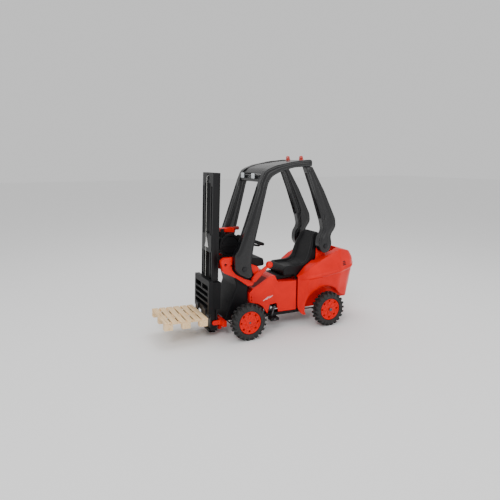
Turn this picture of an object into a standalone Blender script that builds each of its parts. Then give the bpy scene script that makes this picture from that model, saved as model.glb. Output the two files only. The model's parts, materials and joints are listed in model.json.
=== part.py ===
"""A child's ride-on pedal forklift, with a tilting mast, a winched fork carriage and a pallet.

Metres, +Z up, facing -Y. Positions are (x, y, z), with y from the front axle and z from the ground.
"""

import math

import bmesh
import bpy
from mathutils import Matrix, Vector

# Driving dimensions
FRONT_AXLE_Y = -0.1758
WHEELBASE = 0.53
AXLE_Z = 0.1035
TYRE_STEPS = 28
TYRE_R = AXLE_Z / math.cos(math.pi / TYRE_STEPS)
TYRE_WIDTH = 0.060
WHEEL_X = 0.198
RIM_R = 0.064
KINGPIN_X = 0.146
SHELL_HALF_WIDTH = 0.120
HOOD_HALF_WIDTH = 0.188
SHELL_WALL = 0.004
GUARD_THICKNESS = 0.046
CRANK_Y, CRANK_Z, CRANK_R = 0.200, 0.140, 0.062
CHAINWHEEL_R, SPROCKET_R, CHAIN_X = 0.044, 0.026, 0.075
MAST_PIVOT = (0.0, -0.159, 0.085)
MAST_TILT = math.radians(2.2)
MAST_HALF_WIDTH = 0.079
MAST_DEPTH = 0.041
MAST_HEAD, MAST_FOOT = 0.828, -0.0525
SLOT_HALF = 0.0435
CARRIAGE_TOP = 0.250
PULLEY_AT = (0.0, -0.0140, 0.800)
ROPE_R = 0.0015
DRUM_AT = (0.0, 0.100, 0.430)
DRUM_HOUSING_R = 0.066
LEVER_AT = (0.0, 0.060, 0.512)
LEVER_PIVOT = (0.136, 0.058, 0.322)
COLUMN_TILT = math.radians(20)
WHEEL_CENTRE = (0.0, 0.108, 0.521)
STEERING_R = 0.086
SEAT_HALF_WIDTH = 0.100
GAP = 0.0004

RED = (0.62, 0.035, 0.015)
BLACK = (0.016, 0.016, 0.019)
DARK = (0.03, 0.03, 0.034)
STEEL = (0.45, 0.46, 0.48)
WOOD = (0.78, 0.62, 0.40)
CLEAR = (0.80, 0.82, 0.84)
BEACON = (0.75, 0.05, 0.02)

VEHICLE = "pedal_forklift"


def clear_scene():
    """Removes every object."""
    for obj in list(bpy.data.objects):
        bpy.data.objects.remove(obj, do_unlink=True)


def collection(name):
    """A new collection in the scene."""
    made = bpy.data.collections.new(name)
    bpy.context.scene.collection.children.link(made)
    return made


def finish(name, colour, roughness, metallic=0.0):
    """The material of one kind of surface, made on first use."""
    found = bpy.data.materials.get(name)
    if found:
        return found
    made = bpy.data.materials.new(name)
    made.use_nodes = True
    shader = made.node_tree.nodes["Principled BSDF"]
    shader.inputs["Base Color"].default_value = (*colour, 1.0)
    shader.inputs["Roughness"].default_value = roughness
    shader.inputs["Metallic"].default_value = metallic
    made.diffuse_color = (*colour, 1.0)
    return made


def place(obj, parent, matrix=None):
    """Parents the object and sets its local matrix."""
    obj.parent = parent
    obj.matrix_parent_inverse = Matrix.Identity(4)
    obj.matrix_basis = matrix if matrix is not None else Matrix.Identity(4)
    bpy.context.view_layer.update()
    return obj


def new_object(name, mesh, parent, matrix=None, material=None, home="parts"):
    """A mesh object in one of the two collections; a cutter is kept out of the render."""
    obj = bpy.data.objects.new(name, mesh)
    HOMES[home].objects.link(obj)
    if material:
        mesh.materials.clear()
        mesh.materials.append(material)
    if home == "cutters":
        obj.hide_render = True
        obj.display_type = "WIRE"
    return place(obj, parent, matrix)


def empty(name, location, parent=None, rotation=None):
    """An axis or a frame that other pieces are placed from."""
    obj = bpy.data.objects.new(name, None)
    HOMES["parts"].objects.link(obj)
    matrix = Matrix.Translation(location)
    if rotation is not None:
        matrix = matrix @ rotation
    return place(obj, parent, matrix)


def mesh_of(bm, name):
    """A mesh from the bmesh, with its normals facing out."""
    bmesh.ops.recalc_face_normals(bm, faces=bm.faces)
    mesh = bpy.data.meshes.new(name)
    bm.to_mesh(mesh)
    bm.free()
    return mesh


def smooth(obj, angle=35):
    """Smooth shading that stays sharp at edges over the angle."""
    obj.data.shade_smooth()
    obj.data.set_sharp_from_angle(angle=math.radians(angle))
    return obj


def bevel(obj, width, segments=2, angle=30):
    """Rounds the edges over the angle."""
    modifier = obj.modifiers.new("soft_edges", "BEVEL")
    modifier.width = width
    modifier.segments = segments
    modifier.limit_method = "ANGLE"
    modifier.angle_limit = math.radians(angle)
    return obj


def box(name, low, high, parent, material=None, matrix=None, home="parts"):
    """A box between two corners, from the cube primitive."""
    bm = bmesh.new()
    bmesh.ops.create_cube(bm, size=1.0)
    size = [h - l for l, h in zip(low, high)]
    middle = [(l + h) / 2 for l, h in zip(low, high)]
    bmesh.ops.scale(bm, vec=size, verts=bm.verts)
    bmesh.ops.translate(bm, vec=middle, verts=bm.verts)
    return new_object(name, mesh_of(bm, name), parent, matrix, material, home)


def toward(axis):
    """The rotation that lays a cylinder's Z along X, Y or Z, or along a vector."""
    names = {"X": (1, 0, 0), "Y": (0, 1, 0), "Z": (0, 0, 1)}
    return Vector(names.get(axis, axis)).to_track_quat("Z", "Y").to_matrix().to_4x4()


def cylinder(
    name, centre, axis, radius, length, parent, material=None, home="parts", steps=16, top=None
):
    """A cylinder, or a cone with another radius at its far end."""
    bm = bmesh.new()
    bmesh.ops.create_cone(
        bm, cap_ends=True, segments=steps, radius1=radius,
        radius2=radius if top is None else top, depth=length,
    )
    matrix = Matrix.Translation(centre) @ toward(axis)
    return new_object(name, mesh_of(bm, name), parent, matrix, material, home)


def as_mesh(obj):
    """Turns a curve object into a mesh object of the same name, with its caps welded."""
    graph = bpy.context.evaluated_depsgraph_get()
    mesh = bpy.data.meshes.new_from_object(obj.evaluated_get(graph))
    bm = bmesh.new()
    bm.from_mesh(mesh)
    bmesh.ops.remove_doubles(bm, verts=bm.verts, dist=1e-6)
    bmesh.ops.dissolve_degenerate(bm, edges=bm.edges, dist=1e-7)
    bmesh.ops.recalc_face_normals(bm, faces=bm.faces)
    bm.to_mesh(mesh)
    bm.free()
    name, parent, matrix = obj.name, obj.parent, obj.matrix_basis.copy()
    homes = list(obj.users_collection)
    hidden = obj.hide_render
    bpy.data.objects.remove(obj, do_unlink=True)
    made = bpy.data.objects.new(name, mesh)
    homes[0].objects.link(made)
    made.hide_render = hidden
    if hidden:
        made.display_type = "WIRE"
    return place(made, parent, matrix)


def fillet(points, steps=2):
    """A closed outline from corners (u, v) or (u, v, radius), with each radius turned as an arc."""
    made = []
    for i, corner in enumerate(points):
        here = Vector(corner[:2])
        radius = corner[2] if len(corner) > 2 else 0.0
        before = Vector(points[i - 1][:2]) - here
        after = Vector(points[(i + 1) % len(points)][:2]) - here
        turn = before.angle(after)
        if radius <= 0 or turn > math.radians(176):
            made.append(here)
            continue
        reach = min(radius / math.tan(turn / 2), 0.48 * before.length, 0.48 * after.length)
        radius = reach * math.tan(turn / 2)
        centre = here + (
            before.normalized() + after.normalized()
        ).normalized() * (radius / math.sin(turn / 2))
        start = here + before.normalized() * reach - centre
        end = here + after.normalized() * reach - centre
        sweep = start.angle_signed(end)
        for k in range(steps + 1):
            made.append(centre + Matrix.Rotation(-sweep * k / steps, 2) @ start)
    return made


def circle(u, v, radius, steps=16):
    """The corners of a circle in a plane."""
    return [
        Vector(
            (u + radius * math.cos(2 * math.pi * k / steps),
             v + radius * math.sin(2 * math.pi * k / steps))
        )
        for k in range(steps)
    ]


# Local axes of an outline: (u, v) lie in this plane, and its thickness runs along the third axis.
PLANES = {
    "YZ": Matrix(((0, 0, 1, 0), (1, 0, 0, 0), (0, 1, 0, 0), (0, 0, 0, 1))),
    "XZ": Matrix(((1, 0, 0, 0), (0, 0, -1, 0), (0, 1, 0, 0), (0, 0, 0, 1))),
    "XY": Matrix.Identity(4),
}


def plate(name, outline, plane, low, high, parent, material=None, holes=(), home="parts", matrix=None):
    """A flat outline made solid between two offsets along the plane's third axis."""
    curve = bpy.data.curves.new(name, "CURVE")
    curve.dimensions = "2D"
    curve.fill_mode = "BOTH"
    curve.extrude = (high - low) / 2
    for loop in (outline, *holes):
        spline = curve.splines.new("POLY")
        spline.points.add(len(loop) - 1)
        for point, (u, v) in zip(spline.points, loop):
            point.co = (u, v, 0, 1)
        spline.use_cyclic_u = True
    middle = (low + high) / 2
    offset = {"YZ": (middle, 0, 0), "XZ": (0, middle, 0), "XY": (0, 0, middle)}[plane]
    local = Matrix.Translation(offset) @ PLANES[plane]
    obj = bpy.data.objects.new(name, curve)
    HOMES[home].objects.link(obj)
    if material:
        curve.materials.append(material)
    if home == "cutters":
        obj.hide_render = True
        obj.display_type = "WIRE"
    place(obj, parent, local if matrix is None else matrix @ local)
    return as_mesh(obj)


def tube(name, points, radius, parent, material=None, home="parts", sides=2, matrix=None):
    """A round bar along a chain of points."""
    curve = bpy.data.curves.new(name, "CURVE")
    curve.dimensions = "3D"
    curve.bevel_depth = radius
    curve.bevel_resolution = sides
    curve.use_fill_caps = True
    spline = curve.splines.new("POLY")
    spline.points.add(len(points) - 1)
    for point, co in zip(spline.points, points):
        point.co = (*co, 1)
    obj = bpy.data.objects.new(name, curve)
    HOMES[home].objects.link(obj)
    if material:
        curve.materials.append(material)
    place(obj, parent, matrix)
    return as_mesh(obj)


def turned(name, profile, parent, material=None, matrix=None, steps=32, home="parts", closed=True):
    """A solid turned about its local Z from a closed loop of (radius, height) points."""
    bm = bmesh.new()
    points = [bm.verts.new((r, 0, h)) for r, h in profile]
    pairs = list(zip(points, points[1:] + points[:1])) if closed else list(zip(points, points[1:]))
    for a, b in pairs:
        bm.edges.new((a, b))
    mesh = bpy.data.meshes.new(name)
    bm.to_mesh(mesh)
    bm.free()
    obj = new_object(name, mesh, parent, matrix, material, home)
    screw = obj.modifiers.new("turn", "SCREW")
    screw.steps = steps
    screw.render_steps = steps
    screw.use_merge_vertices = True
    screw.merge_threshold = 0.00005
    return as_mesh(obj)


def boolean(obj, other, operation="DIFFERENCE"):
    """Joins or cuts at once and removes the helper, so the result stays one plain mesh."""
    modifier = obj.modifiers.new(operation.lower(), "BOOLEAN")
    modifier.operation = operation
    modifier.solver = "EXACT"
    modifier.object = other
    bpy.context.view_layer.update()
    graph = bpy.context.evaluated_depsgraph_get()
    mesh = bpy.data.meshes.new_from_object(obj.evaluated_get(graph))
    old = obj.data
    obj.modifiers.clear()
    obj.data = mesh
    bpy.data.meshes.remove(old)
    bpy.data.objects.remove(other, do_unlink=True)
    return obj


def cut(obj, *others):
    """Takes the other solids away."""
    for other in others:
        boolean(obj, other)
    return obj


def join(obj, *others):
    """Adds the other solids."""
    for other in others:
        boolean(obj, other, "UNION")
    return obj


def sides():
    """The word and the sign of each side; the left is +X."""
    return (("left", 1), ("right", -1))


def chassis_frame(root):
    """One welded frame: spine, front yokes for the kingpins, crank bearing and rear axle plates."""
    steel = finish("frame_paint", DARK, 0.5)
    frame = box("chassis_frame", (-0.018, 0.006, 0.157), (0.018, 0.600, 0.181), root, steel)
    pieces = [
        ((-0.016, 0.0045, 0.0925), (0.016, 0.030, 0.166)),
        ((-0.133, -0.0135, 0.092), (0.133, 0.0135, 0.116)),
        ((-0.016, 0.186, 0.120), (0.016, 0.214, 0.166)),
        ((-0.1115, 0.5145, 0.153), (0.1115, 0.5455, 0.177)),
        ((-0.016, 0.560, 0.176), (0.016, 0.596, 0.340)),
    ]
    for _, side in sides():
        inner, outer = sorted((side * 0.119, side * 0.1335))
        pieces.append(((inner, -0.0115, 0.072), (outer, 0.0115, 0.136)))
        inner, outer = sorted((side * 0.120, side * 0.157))
        pieces.append(((inner, -0.0115, 0.072), (outer, 0.0115, 0.081)))
        pieces.append(((inner, -0.0115, 0.127), (outer, 0.0115, 0.136)))
        inner, outer = sorted((side * 0.102, side * 0.112))
        pieces.append(((inner, 0.512, 0.086), (outer, 0.548, 0.172)))
        inner, outer = sorted((side * 0.056, side * 0.070))
        pieces.append(((inner, -0.0985, 0.080), (outer, 0.0050, 0.1030)))
    for i, (low, high) in enumerate(pieces):
        join(frame, box(f"frame_piece_{i}", low, high, root))
    cut(frame, cylinder("crank_bore", (0, CRANK_Y, CRANK_Z), "X", 0.0066, 0.1, root, home="cutters"))
    cut(frame, cylinder("axle_bore", (0, WHEELBASE, AXLE_Z), "X", 0.0066, 0.3, root, home="cutters"))
    for word, side in sides():
        at = (side * KINGPIN_X, 0, AXLE_Z)
        cut(frame, cylinder(f"kingpin_bore_{word}", at, "Z", 0.0066, 0.2, root, home="cutters"))
    return frame


def front_cross_beam(root):
    """The red beam ahead of the front axle, with the two lugs and stub pins that carry the mast."""
    red = finish("red_plastic", RED, 0.3)
    beam = box("front_cross_beam", (-0.128, -0.1245, 0.066), (0.128, -0.0995, 0.100), root, red)
    for word, side in sides():
        inner, outer = sorted((side * (MAST_HALF_WIDTH + 0.002), side * (MAST_HALF_WIDTH + 0.010)))
        outline = fillet(
            [(-0.110, 0.068), (-0.110, 0.098), (-0.172, 0.098, 0.013), (-0.172, 0.070, 0.013)]
        )
        join(beam, plate(f"mast_lug_{word}", outline, "YZ", inner, outer, root))
        middle = side * (MAST_HALF_WIDTH - 0.004)
        at = (middle, MAST_PIVOT[1], MAST_PIVOT[2])
        join(beam, cylinder(f"mast_pin_{word}", at, "X", 0.006, 0.020, root))
        foot = box(
            f"beam_foot_{word}", (side * 0.044 - 0.012, -0.122, 0.030),
            (side * 0.044 + 0.012, -0.102, 0.070), root,
        )
        join(beam, foot)
    return beam


def tyre_profile():
    """Half-round shoulders between the bead and the tread, as (radius, x) about the axle."""
    half = TYRE_WIDTH / 2
    outline = fillet(
        [(RIM_R + 0.0012, half - 0.008), (TYRE_R - 0.012, half, 0.012), (TYRE_R, half - 0.010, 0.006),
         (TYRE_R, -half + 0.010, 0.006), (TYRE_R - 0.012, -half, 0.012),
         (RIM_R + 0.0012, -half + 0.008)],
        steps=1,
    )
    return [(p.x, p.y) for p in outline]


def road_wheel(word, spin, hub_x, bore):
    """Tyre and rim of one wheel, centred on an empty on its axle."""
    lay = toward("X")
    flat_down = lay @ Matrix.Rotation(math.pi / TYRE_STEPS, 4, "Z")
    rubber = finish("tyre_rubber", BLACK, 0.85)
    tyre = turned(f"tyre_{word}", tyre_profile(), spin, rubber, flat_down, steps=TYRE_STEPS)
    smooth(tyre)
    half = TYRE_WIDTH / 2
    face = 1 if hub_x > 0 else -1
    rim_outline = [
        (bore, half - 0.002), (0.018, half - 0.002), (0.022, half - 0.010), (0.056, half - 0.012),
        (RIM_R, half - 0.008), (RIM_R, -half + 0.008), (0.056, -half + 0.008),
        (0.052, -half + 0.024), (0.022, -half + 0.024), (0.018, -half + 0.004), (bore, -half + 0.004),
    ]
    profile = [(r, face * h) for r, h in rim_outline]
    rim = turned(f"rim_{word}", profile[::face], spin, finish("red_plastic", RED, 0.3), lay, steps=20)
    smooth(rim)


def steering_knuckle(word, side, pivot):
    """Kingpin, stub axle and forward steering arm of one front wheel, about the kingpin."""
    steel = finish("zinc_steel", STEEL, 0.35, 1.0)
    name = f"steering_knuckle_{word}"
    knuckle = cylinder(name, (0, 0, 0), "Z", 0.011, 0.045, pivot, steel, steps=20)
    join(knuckle, cylinder(f"kingpin_{word}", (0, 0, -0.002), "Z", 0.006, 0.076, pivot, steps=16))
    reach = WHEEL_X + TYRE_WIDTH / 2 - 0.008 - KINGPIN_X
    join(
        knuckle, cylinder(f"stub_{word}", (side * reach / 2, 0, 0), "X", 0.0062, reach, pivot, steps=16)
    )
    collar = cylinder(f"stub_collar_{word}", (side * 0.0135, 0, 0), "X", 0.009, 0.013, pivot, steps=16)
    join(knuckle, collar)
    outline = fillet(
        [(side * 0.009, 0.010, 0.006), (-side * 0.009, 0.010, 0.006), (-side * 0.0275, -0.0655, 0.010),
         (side * 0.0015, -0.0655, 0.010)]
    )
    eye = circle(-side * 0.013, -0.050, 0.0098, 12)
    arm = plate(f"steering_arm_{word}", outline, "XY", -0.0395, -0.033, pivot, holes=[eye])
    join(knuckle, arm)
    return knuckle


def tie_rod(parent):
    """The rod under the steering arms: a pin at each end and the pitman fork in the middle."""
    steel = finish("zinc_steel", STEEL, 0.35, 1.0)
    eye_x = KINGPIN_X - 0.013
    rod = cylinder("tie_rod", (0, 0, 0), "X", 0.0035, 2 * eye_x, parent, steel, steps=12)
    for word, side in sides():
        at = (side * eye_x, 0, 0)
        join(rod, cylinder(f"rod_end_{word}", at, "Z", 0.009, 0.009, parent, steps=16))
        join(
            rod,
            cylinder(f"rod_pin_{word}", (side * eye_x, 0, 0.0085), "Z", 0.0025, 0.012, parent,
                     steps=12),
        )
        prong = sorted((side * 0.008, side * 0.012))
        join(
            rod,
            box(f"pitman_prong_{word}", (prong[0], -0.030, -0.003), (prong[1], 0.003, 0.016), parent),
        )
    join(rod, box("pitman_bridge", (-0.012, -0.004, -0.003), (0.012, 0.004, 0.003), parent))
    return rod


def pedal_crank(parent):
    """The bent crank rod: a cross shaft, two opposed arms and the two pedal spindles, as one solid."""
    steel = finish("zinc_steel", STEEL, 0.35, 1.0)
    crank = cylinder("pedal_crank", (0, 0, 0), "X", 0.006, 0.262, parent, steel, steps=16)
    for word, side in sides():
        x = side * 0.1275
        down = Vector((0, -side * 0.3210, -side * 0.9471)) * CRANK_R
        arm = tube(f"crank_arm_{word}", [(x, 0, 0), (x, down.y, down.z)], 0.006, parent)
        join(crank, arm)
        at = (side * 0.151, down.y, down.z)
        join(crank, cylinder(f"spindle_{word}", at, "X", 0.0045, 0.047, parent, steps=12))
    return crank


def toothed_disc(name, parent, x, radius, teeth, material, bore):
    """A chain wheel with trapezoid teeth and a ring of lightening holes."""
    outline = []
    for k in range(teeth):
        for part, reach in ((0.0, radius), (0.40, radius), (0.70, radius - 0.004)):
            angle = 2 * math.pi * (k + part) / teeth
            outline.append((reach * math.cos(angle), reach * math.sin(angle)))
    holes = [circle(0, 0, bore, 16)]
    if radius > 0.035:
        for k in range(5):
            angle = 2 * math.pi * k / 5
            holes.append(circle(0.023 * math.cos(angle), 0.023 * math.sin(angle), 0.0065, 10))
    return plate(name, outline, "YZ", x - 0.0015, x + 0.0015, parent, material, holes)


def chain(root):
    """The roller chain as one closed band round both chain wheels."""
    outer_front, outer_rear = CHAINWHEEL_R + 0.007, SPROCKET_R + 0.007
    return plate(
        "drive_chain", belt(outer_front, outer_rear), "YZ", CHAIN_X - 0.004, CHAIN_X + 0.004, root,
        finish("zinc_steel", STEEL, 0.35, 1.0), [belt(outer_front - 0.006, outer_rear - 0.006)],
    )


def belt(front_r, rear_r, steps=12):
    """A loop round two circles: the crank axle in front and the rear axle behind."""
    dy, dz = WHEELBASE - CRANK_Y, AXLE_Z - CRANK_Z
    lean = math.atan2(dz, dy)
    spread = math.acos((front_r - rear_r) / math.hypot(dy, dz))
    points = []
    for centre, radius, start, sweep in (
        ((CRANK_Y, CRANK_Z), front_r, lean + spread, 2 * (math.pi - spread)),
        ((WHEELBASE, AXLE_Z), rear_r, lean - spread, 2 * spread),
    ):
        for k in range(steps + 1):
            angle = start + sweep * k / steps
            points.append((centre[0] + radius * math.cos(angle), centre[1] + radius * math.sin(angle)))
    return points


def pedal(word, parent):
    """A ribbed pedal block round its spindle."""
    rubber = finish("black_plastic", BLACK, 0.55)
    outline = fillet(
        [(-0.027, -0.009, 0.004), (0.027, -0.009, 0.004), (0.027, 0.009, 0.004),
         (-0.027, 0.009, 0.004)],
        2,
    )
    hole = circle(0, 0, 0.0049, 12)
    block = plate(f"pedal_{word}", outline, "YZ", -0.019, 0.019, parent, rubber, [hole])
    grooves = []
    for k in range(3):
        for level in (-0.009, 0.009):
            y = (k - 1) * 0.016
            low, high = (-0.015, y - 0.002, level - 0.002), (0.015, y + 0.002, level + 0.002)
            grooves.append(box(f"groove_{word}_{k}_{level}", low, high, parent, home="cutters"))
    return cut(block, *grooves)


def rear_axle(parent):
    """The live rear axle with a shoulder and an end nut at each wheel."""
    steel = finish("zinc_steel", STEEL, 0.35, 1.0)
    end = WHEEL_X + TYRE_WIDTH / 2 + 0.002
    nut = TYRE_WIDTH / 2 - 0.0015
    half = [(0.0062, 0.113), (0.009, 0.113), (0.009, WHEEL_X - nut - 0.001),
            (0.0062, WHEEL_X - nut - 0.001),
            (0.0062, WHEEL_X + nut), (0.010, WHEEL_X + nut), (0.010, end - 0.001), (0.008, end)]
    profile = [(0.0, end)] + [
        (r, x) for r, x in reversed(half)
    ] + [(r, -x) for r, x in half] + [(0.0, -end)]
    return smooth(turned("rear_axle", profile, parent, steel, toward("X"), steps=12, closed=False))


def body_shell(root):
    """The red centre body: an open-bottomed shell with front wheel arches and pedal notches."""
    red = finish("red_plastic", RED, 0.3)
    w = SHELL_HALF_WIDTH
    outline = fillet(
        [(0.043, 0.186, 0.006), (0.043, 0.240, 0.006), (0.064, 0.262, 0.01), (0.172, 0.322, 0.02),
         (0.205, 0.328, 0.01),
         (0.226, 0.286, 0.01), (0.352, 0.278), (0.352, 0.100), (0.156, 0.105), (0.128, 0.150, 0.02),
         (0.098, 0.170, 0.02)]
    )
    shell = plate("body_shell", outline, "YZ", -w, w, root, red)
    t = SHELL_WALL
    inner = [(0.047, 0.10), (0.047, 0.238), (0.066, 0.257), (0.172, 0.317), (0.202, 0.323),
             (0.223, 0.281),
             (0.360, 0.2735), (0.360, 0.05), (0.05, 0.05)]
    cut(shell, plate("shell_hollow", inner, "YZ", -w + t, w - t, root, home="cutters"))
    web = [(0.045, 0.104), (0.045, 0.2395), (0.065, 0.2595), (0.172, 0.3193), (0.2035, 0.3252),
           (0.2245, 0.2832), (0.350, 0.2760), (0.350, 0.104)]
    for word, side in sides():
        low, high = sorted((side * 0.058, side * 0.062))
        join(shell, plate(f"inner_web_{word}", web, "YZ", low, high, root))
    shaft = (0, CRANK_Y, CRANK_Z)
    cut(shell, cylinder("shaft_bore", shaft, "X", 0.012, 0.16, root, home="cutters", steps=16))
    notch = fillet([(0.150, 0.060), (0.172, 0.154, 0.006), (0.220, 0.158, 0.006), (0.240, 0.060)])
    cut(shell, plate("pedal_notch", notch, "YZ", -0.2, 0.2, root, home="cutters"))
    for k, z in enumerate((0.215, 0.196)):
        cut(
            shell,
            cylinder(f"front_hole_{k}", (0, 0.056, z), "X", 0.004, 0.3, root, home="cutters", steps=12),
        )
    return shell


def hood_side_outline():
    """The side view of the rear hood, from its front lower corner over the rim to the tail."""
    return fillet(
        [(0.416, 0.062), (0.384, 0.062, 0.02), (0.362, 0.098, 0.03), (0.356, 0.140), (0.356, 0.300, 0.01),
         (0.416, 0.358, 0.02), (0.465, 0.388, 0.02),
         (0.560, 0.430, 0.03),
         (0.640, 0.455, 0.03), (0.752, 0.430, 0.03), (0.790, 0.360, 0.05), (0.808, 0.268, 0.05),
         (0.790, 0.200, 0.04), (0.740, 0.136, 0.03), (0.700, 0.120), (0.655, 0.120), (0.655, 0.150)]
    )


def hood_plan_outline(inset=0.0):
    """The plan view of the rear hood: shoulders, full width over the wheels and a rounded tail."""
    w = HOOD_HALF_WIDTH - inset
    front = 0.350 if inset == 0 else 0.340
    tail = 0.814 - inset
    waist = 0.125 - inset
    right = [(waist, front), (waist, 0.362), (w - 0.012, 0.405, 0.03), (w, 0.47, 0.05),
             (w - 0.002, 0.630, 0.07), (0.148 - 0.6 * inset, 0.740 - 0.6 * inset, 0.10),
             (0.060, tail, 0.08)]
    left = [(-p[0], *p[1:]) for p in reversed(right)]
    return fillet(right + left, 3)


def rear_hood(root):
    """The red counterweight hood behind the seat: a hollow shell with wheel arches and a sunken top."""
    red = finish("red_plastic", RED, 0.3)
    hood = plate("rear_hood", hood_side_outline(), "YZ", -0.2, 0.2, root, red)
    plan = plate("hood_plan", hood_plan_outline(), "XY", 0.05, 0.50, root, home="cutters")
    boolean(hood, plan, "INTERSECT")
    t = SHELL_WALL
    side_inner = fillet(
        [(0.340, 0.050), (0.340, 0.294), (0.360, 0.298), (0.418, 0.353, 0.02), (0.468, 0.382, 0.02),
         (0.560, 0.384, 0.01), (0.690, 0.384, 0.01), (0.748, 0.384, 0.02), (0.782, 0.355, 0.03),
         (0.802, 0.268, 0.04), (0.785, 0.203, 0.03), (0.736, 0.141), (0.716, 0.050)]
    )
    hollow = plate("hood_hollow", side_inner, "YZ", -0.3, 0.3, root, home="cutters")
    hollow_plan = plate("hollow_plan", hood_plan_outline(t), "XY", 0.0, 0.52, root, home="cutters")
    boolean(hollow, hollow_plan, "INTERSECT")
    cut(hood, hollow)
    cut(
        hood,
        cylinder("wheel_arch", (0, WHEELBASE, AXLE_Z), "X", 0.128, 0.6, root, home="cutters", steps=40),
    )
    well = [(0.360, 0.104), (0.360, 0.300), (0.417, 0.3552), (0.468, 0.3845), (0.752, 0.386),
            (0.752, 0.104)]
    trim = fillet([(0.045, 0.090), (0.110, 0.118, 0.05), (0.165, 0.150, 0.05), (0.205, 0.215),
                   (0.300, 0.215), (0.300, 0.050), (0.045, 0.050)])
    for word, side in sides():
        low, high = sorted((side * 0.1415, side * 0.1455))
        inner_wall = plate(f"wheel_well_{word}", well, "YZ", low, high, root)
        clip = plate(f"well_clip_{word}", hood_plan_outline(t / 2), "XY", 0.0, 0.52, root,
                     home="cutters")
        join(hood, boolean(inner_wall, clip, "INTERSECT"))
        corner = [(side * x, z) for x, z in trim]
        cut(hood, plate(f"tail_trim_{word}", corner, "XZ", 0.600, 0.900, root, home="cutters"))
    axle = (0, WHEELBASE, AXLE_Z)
    cut(hood, cylinder("axle_notch", axle, "X", 0.014, 0.4, root, home="cutters", steps=20))
    sunk = fillet([(-0.128, 0.440, 0.02), (0.128, 0.440, 0.02), (0.128, 0.640, 0.06),
                   (0.060, 0.708, 0.06), (-0.060, 0.708, 0.06), (-0.128, 0.640, 0.06)])
    cut(hood, plate("sunken_top", sunk, "XY", 0.389, 0.6, root, home="cutters"))
    cut(hood, box("seat_slot", (-0.104, 0.30, 0.2), (0.104, 0.565, 0.6), root, home="cutters"))
    for word, side in sides():
        low, high = sorted((side * 0.1065, side * 0.1138))
        stand = fillet([(0.490, 0.3865), (0.560, 0.3865), (0.548, 0.502, 0.02), (0.502, 0.502, 0.02)])
        join(hood, plate(f"pillar_stand_{word}", stand, "YZ", low, high, root))
    return hood


def chain_guard(root):
    """The black strip under the centre body that covers the chain from below."""
    plastic = finish("black_plastic", BLACK, 0.55)
    outline = fillet([(0.146, 0.080, 0.004), (0.385, 0.078, 0.004), (0.385, 0.0965), (0.146, 0.1005)])
    guard = plate("chain_guard", outline, "YZ", 0.060, 0.112, root, plastic)
    channel = box("guard_channel", (0.066, 0.130, 0.0855), (0.084, 0.295, 0.12), root, home="cutters")
    slot = box("guard_slot", (0.066, 0.215, 0.060), (0.084, 0.400, 0.12), root, home="cutters")
    return cut(guard, channel, slot)


def front_cowl(root):
    """The black leg shield: a leaning panel with two side walls, open at the back and the bottom."""
    black = finish("black_plastic", BLACK, 0.55)
    w = 0.105
    outline = fillet([(-0.101, 0.104), (-0.028, 0.287, 0.03), (-0.058, 0.395, 0.01),
                      (-0.030, 0.412, 0.01), (0.036, 0.372, 0.01),
                      (0.040, 0.186), (0.036, 0.150, 0.02), (0.0, 0.128, 0.03), (-0.060, 0.104)])
    cowl = plate("front_cowl", outline, "YZ", -w, w, root, black)
    t = SHELL_WALL
    inner = [
        (-0.095, 0.060), (-0.0945, 0.104), (-0.023, 0.287), (-0.052, 0.392), (-0.030, 0.404),
        (0.050, 0.360), (0.060, 0.060),
    ]
    cut(cowl, plate("cowl_hollow", inner, "YZ", -w + t, w - t, root, home="cutters"))
    column = cylinder(
        "column_pass", column_point(0.15), column_axis(), 0.014, 0.2, root, home="cutters", steps=20
    )
    return cut(cowl, column)


def column_axis():
    """The direction of the steering column, upwards."""
    return (0.0, math.sin(COLUMN_TILT), math.cos(COLUMN_TILT))


def column_point(below):
    """A point on the steering column, this far below the steering wheel's centre."""
    return Vector(WHEEL_CENTRE) - Vector(column_axis()) * below


def dash_outline():
    """The side outline of one dash cheek, from its front tip over the top to the lever's foot."""
    return fillet(
        [(-0.132, 0.442, 0.014), (-0.112, 0.458, 0.01), (-0.052, 0.457, 0.02), (0.028, 0.420, 0.02),
         (0.100, 0.388, 0.012),
         (0.092, 0.352, 0.015), (0.060, 0.286, 0.014), (0.030, 0.286, 0.012), (-0.040, 0.338, 0.02),
         (-0.118, 0.378, 0.02)]
    )


def dash_cheek(word, side, root):
    """A red side plate of the dash, with two holes and a recess for the guard pillar foot."""
    low, high = sorted((side * 0.1058, side * 0.1290))
    holes = [circle(-0.104, 0.420, 0.0085, 14), circle(-0.071, 0.412, 0.005, 10)]
    cheek = plate(
        f"dash_cheek_{word}", dash_outline(), "YZ", low, high, root, finish("red_plastic", RED, 0.3),
        holes,
    )
    recess = fillet([(-0.060, 0.520), (-0.068, 0.392, 0.02), (-0.046, 0.362, 0.02),
                     (0.010, 0.328, 0.02),
                     (0.056, 0.312, 0.012), (0.078, 0.330, 0.012), (0.050, 0.385, 0.02),
                     (0.052, 0.520)])
    face = sorted((side * 0.1140, side * 0.2))
    cut(cheek, plate(f"pillar_recess_{word}", recess, "YZ", *face, root, home="cutters"))
    if side > 0:
        join(cheek, lever_pin(root))
    return cheek


def dash_console(root):
    """The black console between the cheeks, with the steering column's collar on top."""
    black = finish("black_plastic", BLACK, 0.55)
    outline = fillet([(-0.100, 0.414, 0.008), (-0.088, 0.428, 0.01), (0.020, 0.428, 0.02),
                      (0.060, 0.440, 0.02),
                      (0.138, 0.432, 0.008), (0.146, 0.388, 0.01), (0.060, 0.384), (-0.028, 0.4165)])
    console = plate("dash_console", outline, "YZ", -0.105, 0.105, root, black)
    collar = cylinder(
        "collar", column_point(0.088), column_axis(), 0.026, 0.05, root, steps=24, top=0.020
    )
    join(console, collar)
    cut(
        console,
        cylinder("collar_bore", column_point(0.10), column_axis(), 0.0125, 0.4, root, home="cutters",
                 steps=20),
    )
    return console


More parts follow.
